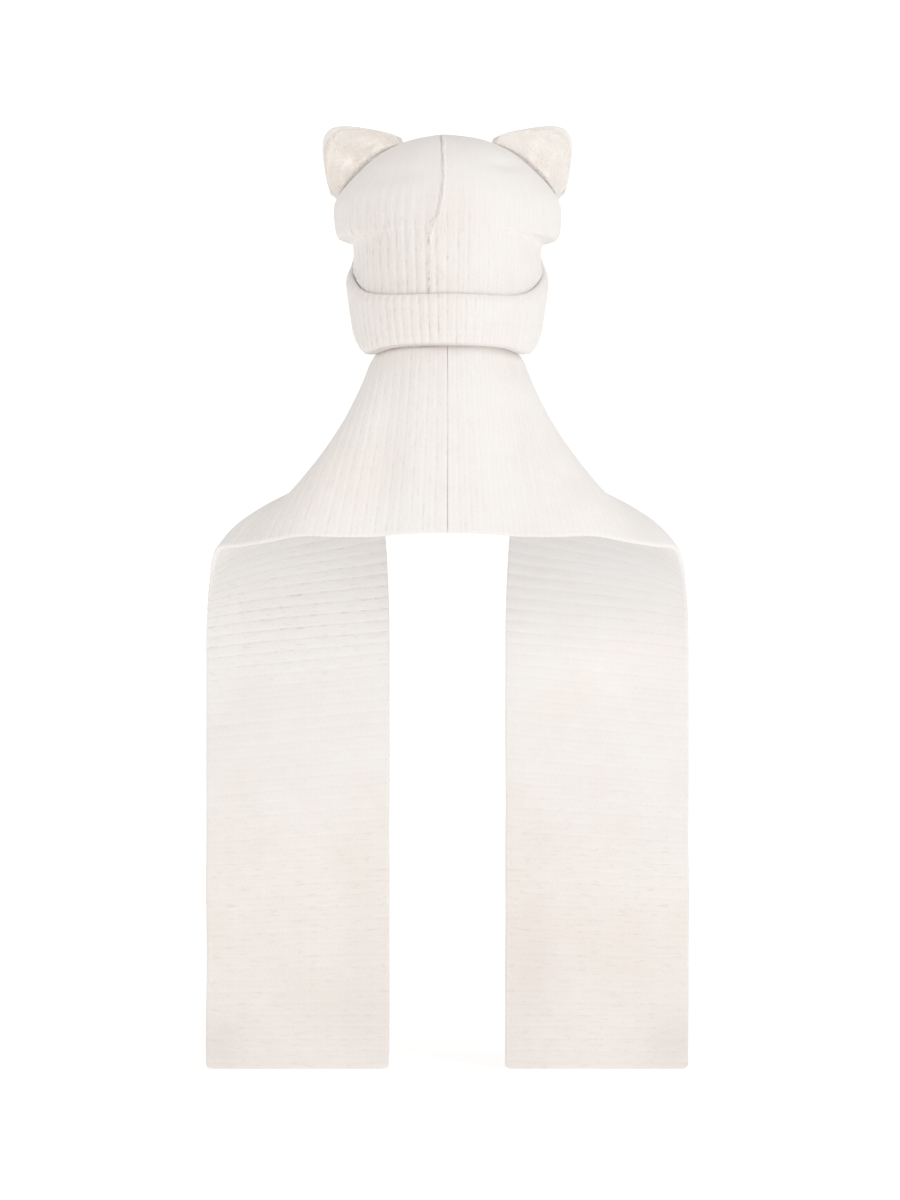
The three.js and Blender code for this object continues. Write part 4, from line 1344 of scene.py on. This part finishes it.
@dataclass
class Scarf:
    """The long straight rib-knit band, in two halves that meet in the centre-back seam."""

    shape: ScarfShape
    knit: RibKnit = RibKnit()
    rib_pitch: float = 10.8 * MM
    course: float = 5.2 * MM
    steps_per_rib: int = 8
    across_steps: int = 70
    selvedge_steps: int = 9
    seam_gap: float = 0.02 * MM
    hem_corner: float = 5 * MM
    scallop: float = 0.9 * MM
    sway: float = 1.1 * MM
    ease: float = 0.5 * MM

    def lengths(self) -> np.ndarray:
        """Where the loops lie along the band: evenly, and closer together in its rounded ends."""
        shape = self.shape
        steps = round(shape.half_length / self.rib_pitch) * self.steps_per_rib
        even = np.linspace(0, shape.half_length, steps + 1)[2:-3]
        rounded = np.array([0.0, 0.12, 0.35, 0.65, 1.0]) * shape.knit / 2
        ends = [rounded + self.seam_gap, even, shape.half_length - rounded]
        return np.unique(np.concatenate(ends))[:, None]

    def loop(self) -> tuple[np.ndarray, np.ndarray]:
        """The loop round the band's section, flat on both faces with half-round selvedges.

        Returns:
            The way across, from 0 to 1, and the face, 1 outside and -1 inside, each 1 by columns.
        """
        flat = np.linspace(0, 1, self.across_steps)
        turn = np.linspace(0, np.pi, self.selvedge_steps)[1:-1]
        lip = self.shape.knit / 2 / self.shape.width
        across = np.concatenate([lip + flat * (1 - 2 * lip), 1 - lip + lip * np.sin(turn)])
        face = np.concatenate([np.ones(len(flat)), np.cos(turn)])
        return np.concatenate([across, 1 - across])[None, :], np.concatenate([face, -face])[None, :]

    def trim(self, length: np.ndarray) -> np.ndarray:
        """How far a selvedge turns in for the hem's rounded corners.

        Args:
            length: Metres from the seam.

        Returns:
            Metres inwards at each length.
        """
        in_corner = self.hem_corner - (self.shape.half_length - length)
        in_corner = np.clip(in_corner, 0, self.hem_corner)
        return self.hem_corner - np.sqrt(self.hem_corner**2 - in_corner**2)

    def taper(self, length: np.ndarray) -> np.ndarray:
        """How thick the band is near its ends.

        Args:
            length: Metres from the seam.

        Returns:
            The share of the full thickness: rounded off at the hem, and hardly at all at the seam.
        """
        end = self.shape.knit / 2
        from_end = np.minimum(length - self.seam_gap, self.shape.half_length - length)
        rounded = quarter_round(from_end / end, 0.02)
        return np.where(length < 5 * MM, 0.95 + 0.05 * rounded, rounded)

    def half(self, side: int, seed: int) -> Shell:
        """One half as a shell: a loop round the band's section at each step along it.

        The ribs' relief and stitches push it along the normal, the selvedges scallop with the ribs, and the
        hanging panel sways a little.

        Args:
            side: 1 for the wearer's right and -1 for the left.
            seed: Seed of the unevenness.

        Returns:
            The shell, flat at both ends.
        """
        shape = self.shape
        length = self.lengths()
        across, face = self.loop()
        ribs = length / shape.half_length * round(shape.half_length / self.rib_pitch) + 0 * across
        courses = across * shape.width / self.course + 0 * ribs
        uneven = Unevenness(seed=seed, size=0.07)
        hanging = smooth_step(length, 0.42, 0.6)
        sway = uneven(across * 0.03, length) * self.sway * hanging
        ease = uneven(across * 0.03 + 1, length * 0.6 + 1) * self.ease / shape.width * hanging
        scallop = (self.knit.depth(ribs, 0.0) - 0.5) * self.scallop / shape.width
        spread = across + scallop * (2 * across - 1) + ease
        spread = 0.5 + (spread - 0.5) * (1 - 2 * self.trim(length) / shape.width)
        nape = 1 - smooth_step(length, 0.2, 0.42)
        relief = (1 - 0.6 * nape) * (1 - 0.75 * smooth_step(length, 0.34, 0.45))
        thick = face * shape.knit / 2 * self.taper(length)
        off = thick + self.knit.offset(ribs, courses, face) * relief + sway
        normal = shape.normal(length, across + 0 * ribs)
        points = shape.point(length, np.clip(spread, -0.02, 1.02)) + normal * off[..., None]
        points[..., 0] = np.maximum(points[..., 0], self.seam_gap) * side
        ribs_round, courses_round = (np.concatenate([v, v[:, :1]], 1) for v in (ribs, courses))
        marks = self.marks(points, length, across, face, self.knit.depth(ribs, face))
        return Shell(points, knit_map(ribs_round, courses_round), Ends.FLAT, marks)

    def marks(
        self,
        points: np.ndarray,
        length: np.ndarray,
        across: np.ndarray,
        face: np.ndarray,
        depth: np.ndarray,
    ) -> dict[str, np.ndarray]:
        """What the knit's finish reads off one half.

        The nape's ribs are closed and the hanging panel's loose. A painted shadow darkens it just under the
        brim's fold, painted shade greys it under the cape's hem and towards its lower end, it is a little
        duller along the loose panels, and it is slightly soiled at its corners. Its yarn is painted lighter
        at the nape, against the brim's shade, and warmer on the left as painted warm shade.

        Args:
            points: The half's points, rows by columns by 3.
            length: Metres from the seam, rows by 1.
            across: 0 to 1, 1 by columns.
            face: 1 on the outer face and -1 on the inner one, 1 by columns.
            depth: 0 in furrows and 1 on crests, rows by columns.

        Returns:
            The marks by name, each rows by columns.
        """
        shape = self.shape
        open_and_left_shade = openness_and_left_shade(points[..., 0])
        nape = 1 - smooth_step(length, 0.2, 0.42)
        loose = smooth_step(length, 0.36, 0.5)
        stitched = np.clip((length - self.seam_gap) / (1.5 * MM), 0, 1)
        fold = shape.brim.fold(np.arctan2(points[..., 0], -points[..., 1]))
        sewn = (1 - smooth_step(length, 0.1, 0.14)) * (face > 0)
        # Painted shadow on the scarf's face just under the brim's fold.
        fold_shadow = bell(points[..., 2] - fold, 0, 1.8 * MM) * sewn
        below_hem = smooth_step(shape.hem_level - points[..., 2], -20 * MM, 110 * MM)
        shadow = (1 - below_hem) * smooth_step(points[..., 1], 0.0, 0.05)
        from_hem = shape.half_length - length
        corner = bell(across, 0.93, 0.16) * bell(from_hem, 22 * MM, 26 * MM)
        edge = bell(across, 0.14, 0.12) * bell(from_hem, 90 * MM, 80 * MM)
        panel = 0.75 * smooth_step(length, 0.48, 0.62)
        # Painted shade that greys the panels towards their lower end.
        lower_shade = smooth_step(length, 0.6, 0.78)
        return {
            "depth": 1 - (1 - depth * (0.75 + 0.25 * stitched)) * (1 - 0.6 * loose),
            # Painted light: the nape's yarn is kept lighter and cooler under the brim, and its left side
            # warmer as painted warm shade.
            "warmth_and_painted_light": 0.05 + 0.8 * smooth_step(length, 0.42, 0.68) + 0.25 * nape * open_and_left_shade,
            "open_ribs_and_left_shade": open_and_left_shade * (1 - loose) * (1 - 0.5 * nape) + panel,
            # Painted shadow under the brim's fold, with slight soil at the hem's corners and near the inner
            # edge.
            "painted_shade_and_soil": 0.42 * fold_shadow * open_and_left_shade + 0.1 * corner + 0.045 * edge,
            # Painted shade under the cape's hem and towards the lower end, and a little dulling along the
            # loose panels.
            "grey_and_painted_shade": 0.38 * shadow + 0.05 * loose + 0.1 * lower_shade,
        }

    def build(self, material: bpy.types.Material) -> None:
        """Args:
            material: The knit's finish.
        """
        for name, side, seed in (("right", 1, 31), ("left", -1, 47)):
            made = self.half(side, seed).build(f"scarf_half_{name}")
            half = wear(made, material, "knit", f"scarf_{name}")


# The ears


@dataclass(frozen=True)
class EarShape:
    """The middle surface of the right ear, ruled from its foot on the cap to its outline, and cupped.

    The outline's columns are shares of the reach and the rise, from the inner end to the outer one.
    """

    cap: CapShape
    reach: float = 77 * MM
    rise: float = 70 * MM
    foot: float = 36 * MM
    set_forward: float = 13 * MM
    padding: float = 12 * MM
    edge: float = 5 * MM
    cup: float = 6 * MM
    clear: float = 1.45 * MM
    foot_depth: float = 0.3
    outline: Table = Table(
        "out up",
        (0.0, 0.79),
        (0.2, 0.895),
        (0.46, 0.965),
        (0.7, 1.0),
        (0.87, 0.985),
        (0.965, 0.9),
        (1.0, 0.76),
        (0.99, 0.55),
        (0.95, 0.28),
        (0.88, 0.03),
    )

    def point(self, along: Number, rise: Number) -> np.ndarray:
        """Points of the middle surface.

        Args:
            along: 0 at the inner end of the foot and of the outline, 1 at the outer end.
            rise: 0 on the foot and 1 on the outline.

        Returns:
            Points, in the arguments' common shape by 3.
        """
        along, rise = np.broadcast_arrays(np.asarray(along, float), np.asarray(rise, float))
        cap = self.cap
        angle = np.pi / 2 + np.arcsin(self.set_forward / cap.front)
        fine = np.linspace(0, cap.section_at(cap.wall - cap.height * 0.32), 2000)
        inner = np.interp(self.foot, cap.point(angle, fine)[:, 0], fine)
        outer = cap.section_at(cap.wall - cap.height * self.foot_depth)
        foot = cap.off(angle, inner + (outer - inner) * along, self.clear + 0 * along)
        keys = np.linspace(0, 1, len(self.outline))
        out = self.foot + Curve(keys, self.outline["out"])(along) * self.reach
        up = cap.point(angle, outer)[2] + Curve(keys, self.outline["up"])(along) * self.rise
        tip = np.stack([out, foot[..., 1], up], -1)
        made = foot + (tip - foot) * rise[..., None]
        made[..., 1] += self.cup * 4 * along * (1 - along) * np.sin(np.pi / 2 * rise * 1.3)
        return made

    def half_thickness(self, along: Number, rise: Number) -> np.ndarray:
        """Half the padding: fullest in the middle of the foot and down to the edge's along the outline."""
        fullest = np.sin(np.pi * np.clip(along, 0, 1)) ** 0.6
        bulk = fullest * np.sqrt(np.maximum(1 - np.asarray(rise) ** 2.4, 0))
        return (self.edge + (self.padding - self.edge) * bulk) / 2


@dataclass
class Ear:
    """A padded knit ear with fleece on the face towards the back."""

    shape: EarShape
    side: int
    knit: RibKnit = RibKnit(relief=0.35 * MM, stitch=0.15 * MM)
    ribs: int = 9
    courses: int = 14
    ends: float = 0.04
    fleece_inset: float = 0.08
    fleece_low: float = 0.04
    fleece_high: float = 0.87
    fleece: float = 3 * MM
    fleece_lumps: float = 0.15 * MM
    sewn_gap: float = 0.15 * MM
    pile_height: float = 1.05 * MM
    tufts: int = 8000
    # How much of the pile's lightening the left ear keeps; the rest is painted shade.
    left_painted_shade: float = 0.15
    fleece_cut: tuple[float, float] = (0.08, 0.07)
    fleece_area: float = 0.0028

    @property
    def word(self) -> str:
        """The side's name."""
        return "right" if self.side > 0 else "left"

    def mirrored(self, points: np.ndarray) -> np.ndarray:
        """The points on this ear's own side."""
        return points * np.array([self.side, 1, 1])

    def pad(self) -> Shell:
        """The ear's knit pad: a loop round its section at each step from the inner end to the outer one.

        Returns:
            The shell, closed to a point at both ends.
        """
        along = (self.ends + (1 - 2 * self.ends) * np.linspace(0, 1, 90))[:, None]
        brow = 0.9 + 0.1 * np.sin(np.linspace(0.15, 1, 9) * np.pi / 2)
        up = np.concatenate([np.linspace(0, 0.9, 34), brow])
        rise = there_and_back(up)
        closing = np.sqrt(np.clip(1 - ((rise - 0.9) / 0.1).clip(0, 1) ** 2, 0, 1))
        from_end = np.minimum(along - self.ends, 1 - self.ends - along)
        padding = self.shape.half_thickness(along, rise) * quarter_round(from_end / 0.06, 0.03)
        ribs = along * self.ribs + 0 * rise
        courses = rise * self.courses + 0 * along
        points = self.shape.point(along, rise)
        thick = (padding + self.knit.offset(ribs, courses, 1)) * closing
        points[..., 1] += two_faces(len(up), -1, 1) * thick
        uv = knit_map(along * self.ribs, np.append(rise, 0.0)[None, :] * self.courses)
        depth = 0.7 + 0.3 * self.knit.depth(ribs, 1)
        return Shell(self.mirrored(points), uv, Ends.POLE, {"depth": depth, "warmth_and_painted_light": 0.4 + 0 * depth})

    def face_point(self, along: Number, rise: Number, height: Number) -> np.ndarray:
        """Points a height off the ear's back face, on the right ear."""
        made = self.shape.point(along, rise)
        made[..., 1] -= self.shape.half_thickness(along, rise) + self.sewn_gap + height
        return made

    def fleece_pad(self) -> Shell:
        """The fleece's backing: a thin pad that thins out towards its edges.

        Returns:
            The shell, flat at both ends.
        """
        along = np.linspace(self.fleece_inset, 1 - self.fleece_inset, 60)[:, None]
        up = np.linspace(self.fleece_low, self.fleece_high, 40)
        rise = there_and_back(up)
        edge = np.minimum(along - self.fleece_inset, 1 - self.fleece_inset - along) / 0.07
        top = np.minimum(rise - self.fleece_low, self.fleece_high - rise) / 0.09
        full = quarter_round(np.minimum(edge, top), 0.05) * two_faces(len(up), 1, 0)
        lumps = Unevenness(seed=70 + self.side, size=0.2)(along, rise) * self.fleece_lumps
        points = self.face_point(along, rise, (self.fleece * 0.75 + lumps) * full)
        uv = knit_map(along * 10, np.append(rise, rise[0, 0])[None, :] * 10)
        return Shell(self.mirrored(points), uv, Ends.FLAT, {"depth": np.full(full.shape, 0.6)})

    def pile(self) -> bpy.types.Object:
        """The fleece's pile: thousands of short curled tufts, made as arrays and joined in one mesh.

        Each tuft is a three-sided spike of two lengths that leans from its root on the backing towards a
        shared lie and a random side, so that the pile is ruffled but combed.

        Returns:
            The object.
        """
        random = np.random.default_rng(300 + self.side)
        count = self.tufts
        inset = self.fleece_inset + 0.01
        high = self.fleece_high - self.fleece_low - 0.01
        along = random.uniform(inset, 1 - inset, count)
        rise = self.fleece_low + high * random.uniform(0, 1, count) ** 0.75
        root = self.mirrored(self.face_point(along, rise, np.full(count, self.fleece * 0.64)))
        lie_x, lie_z = (Unevenness(seed, size=0.02)(root[:, 0], root[:, 2]) for seed in (90, 91))
        lean_x = lie_x * 0.4 + random.normal(0, 0.25, count)
        lean_z = lie_z * 0.3 - 0.35 + random.normal(0, 0.25, count)
        way = unit(np.stack([lean_x, -np.ones(count), lean_z], -1))
        tall = self.pile_height * random.uniform(0.6, 1.1, count)[:, None]
        thick = random.uniform(0.6, 0.95, count)[:, None, None] * MM
        turn = random.uniform(0, TURN, count)[:, None]
        middle = root + way * tall * 0.55
        curl = np.stack([lean_x, np.full(count, 0.25), lean_z - 0.4], -1)
        tip = middle + unit(way + curl) * tall * 0.45
        third = turn + np.arange(3)[None, :] * TURN / 3
        spoke = np.stack([np.cos(third), 0 * third, np.sin(third)], -1) * thick
        foot = root[:, None] + spoke
        waist = middle[:, None] + spoke * 0.8
        vertices = np.concatenate([foot, waist, tip[:, None]], 1).reshape(-1, 3)
        first = 7 * np.arange(count)[:, None]
        sides = [first + np.array([[k, (k + 1) % 3, 3 + (k + 1) % 3, 3 + k]]) for k in range(3)]
        points = [first + np.array([[3 + k, 3 + (k + 1) % 3, 6]]) for k in range(3)]
        floor = first + np.array([[2, 1, 0]])
        depth = np.tile(np.repeat([0.3, 0.8, 1.0], [3, 3, 1]), count)
        # Painted shade: the left ear's pile stays nearer the darker roots' colour, as the ear away from the
        # key light.
        depth *= 1 if self.side > 0 else self.left_painted_shade
        faces = [np.concatenate(sides), np.concatenate([*points, floor])]
        return make_object(f"fleece_pile_{self.word}", vertices, faces, marks={"depth": depth})

    def build(self, knit: bpy.types.Material, fleece: bpy.types.Material) -> None:
        """Args:
            knit: The knit's finish.
            fleece: The fleece's finish.
        """
        pad = wear(self.pad().build(f"ear_pad_{self.word}"), knit, "knit", f"ear_{self.word}")
        made = self.fleece_pad().build(f"fleece_{self.word}")
        backing = wear(made, fleece, "fleece", f"ear_fleece_{self.word}")
        pile = wear(self.pile(), fleece, "fleece")


# The studio


@dataclass(frozen=True)
class Lamp:
    """One square soft light: where it stands, what it points at, its side in metres and its watts."""

    name: str
    place: tuple[float, float, float]
    aim: tuple[float, float, float]
    size: float
    power: float

    def build(self) -> None:
        """Makes the light and turns it to its aim."""
        lamp = bpy.data.lights.new(self.name, "AREA")
        lamp.shape = "SQUARE"
        lamp.size = self.size
        lamp.energy = self.power
        made = bpy.data.objects.new(self.name, lamp)
        bpy.context.scene.collection.objects.link(made)
        made.location = self.place
        x, y, z = np.subtract(self.aim, self.place)
        made.rotation_euler = (np.arctan2(np.hypot(x, y), -z), 0, np.arctan2(y, x) - np.pi / 2)


@dataclass(frozen=True)
class Studio:
    """Plain pale floor and backdrop, soft lights, and the camera behind the wearer."""

    floor_level: float = -0.8505
    floor_radius: float = 4.0
    bend: float = 1.6
    wall_height: float = 2.4
    bowl_columns: int = 96
    surround: float = 0.53
    eye_height: float = -0.4115
    distance: float = 3.2
    frame_height: float = 1.08
    sensor_height: float = 24
    centre_shift: float = 2.5 / 1200
    lamps: tuple[Lamp, ...] = (
        Lamp("key", (2.5, -2.5, 1.5), (0, 0, -0.3), 1.4, 27),
        Lamp("fill", (-2.5, -2.7, -0.2), (0, 0, -0.4), 2.4, 8),
        Lamp("top", (0.2, -0.7, 2.4), (0, 0.1, -0.3), 1.6, 11),
    )

    def backdrop(self) -> None:
        """A round bowl: a level floor that curves up into a low wall, turned about the upright axis."""
        rise = np.linspace(0, np.pi / 2, 20)[1:]
        level = np.linspace(0.3, self.floor_radius, 8)
        rim = self.floor_radius + self.bend
        out = np.concatenate([level, self.floor_radius + self.bend * np.sin(rise), [rim]])
        up = np.concatenate([0 * level, self.bend * (1 - np.cos(rise)), [self.wall_height]])
        columns = self.bowl_columns
        turn = np.arange(columns) / columns * TURN
        x, y = np.outer(out, np.cos(turn)), np.outer(out, np.sin(turn))
        rings = np.stack([x, y, (up + self.floor_level)[:, None] + 0 * x], -1)
        points = np.concatenate([rings.reshape(-1, 3), [[0, 0, self.floor_level]]])
        corners = quad_corners(len(out) - 1, columns)
        turned = corners[:1] + corners[:0:-1]
        quads = np.stack([a * columns + b % columns for a, b in turned], -1).reshape(-1, 4)
        edge = np.arange(columns)
        fan = np.stack([edge, (edge + 1) % columns, np.full(columns, len(points) - 1)], -1)
        floor = make_object("studio_floor", points, [quads, fan])
        floor.data.materials.append(FloorFinish().material())

    def world(self) -> None:
        """An even white surround."""
        world = bpy.data.worlds.new("surround")
        world.use_nodes = True
        back = world.node_tree.nodes["Background"]
        back.inputs["Color"].default_value = (1, 1, 1, 1)
        back.inputs["Strength"].default_value = self.surround
        bpy.context.scene.world = world

    def camera(self) -> None:
        """The camera, level and facing the wearer's back.

        The lens is the sensor's height times the distance over the height that the frame shows at the
        origin's upright plane.
        """
        data = bpy.data.cameras.new("camera")
        data.sensor_fit = "VERTICAL"
        data.sensor_height = self.sensor_height
        data.lens = self.sensor_height * self.distance / self.frame_height
        data.shift_x = self.centre_shift
        data.clip_end = 50
        made = bpy.data.objects.new("camera", data)
        bpy.context.scene.collection.objects.link(made)
        made.location = (0, -self.distance, self.eye_height)
        made.rotation_euler = (np.pi / 2, 0, 0)
        bpy.context.scene.camera = made

    def build(self) -> None:
        """Sets the floor, surround, lights and camera."""
        self.backdrop()
        self.world()
        for lamp in self.lamps:
            lamp.build()
        self.camera()
        bpy.context.scene.view_settings.view_transform = "Standard"


def main() -> None:
    """Builds the hood, the scarf, the ears and the studio, in that order."""
    logging.basicConfig(level=logging.INFO, format="%(name)s: %(message)s")
    knit = KnitFinish().material()
    fleece = FleeceFinish().material()
    cap = CapShape()
    brim = BrimLine(cap)
    Hood(cap, brim).build(knit)
    Scarf(ScarfShape(cap, brim)).build(knit)
    for side in (1, -1):
        Ear(EarShape(cap), side).build(knit, fleece)
    Studio().build()


if __name__ == "__main__":
    main()
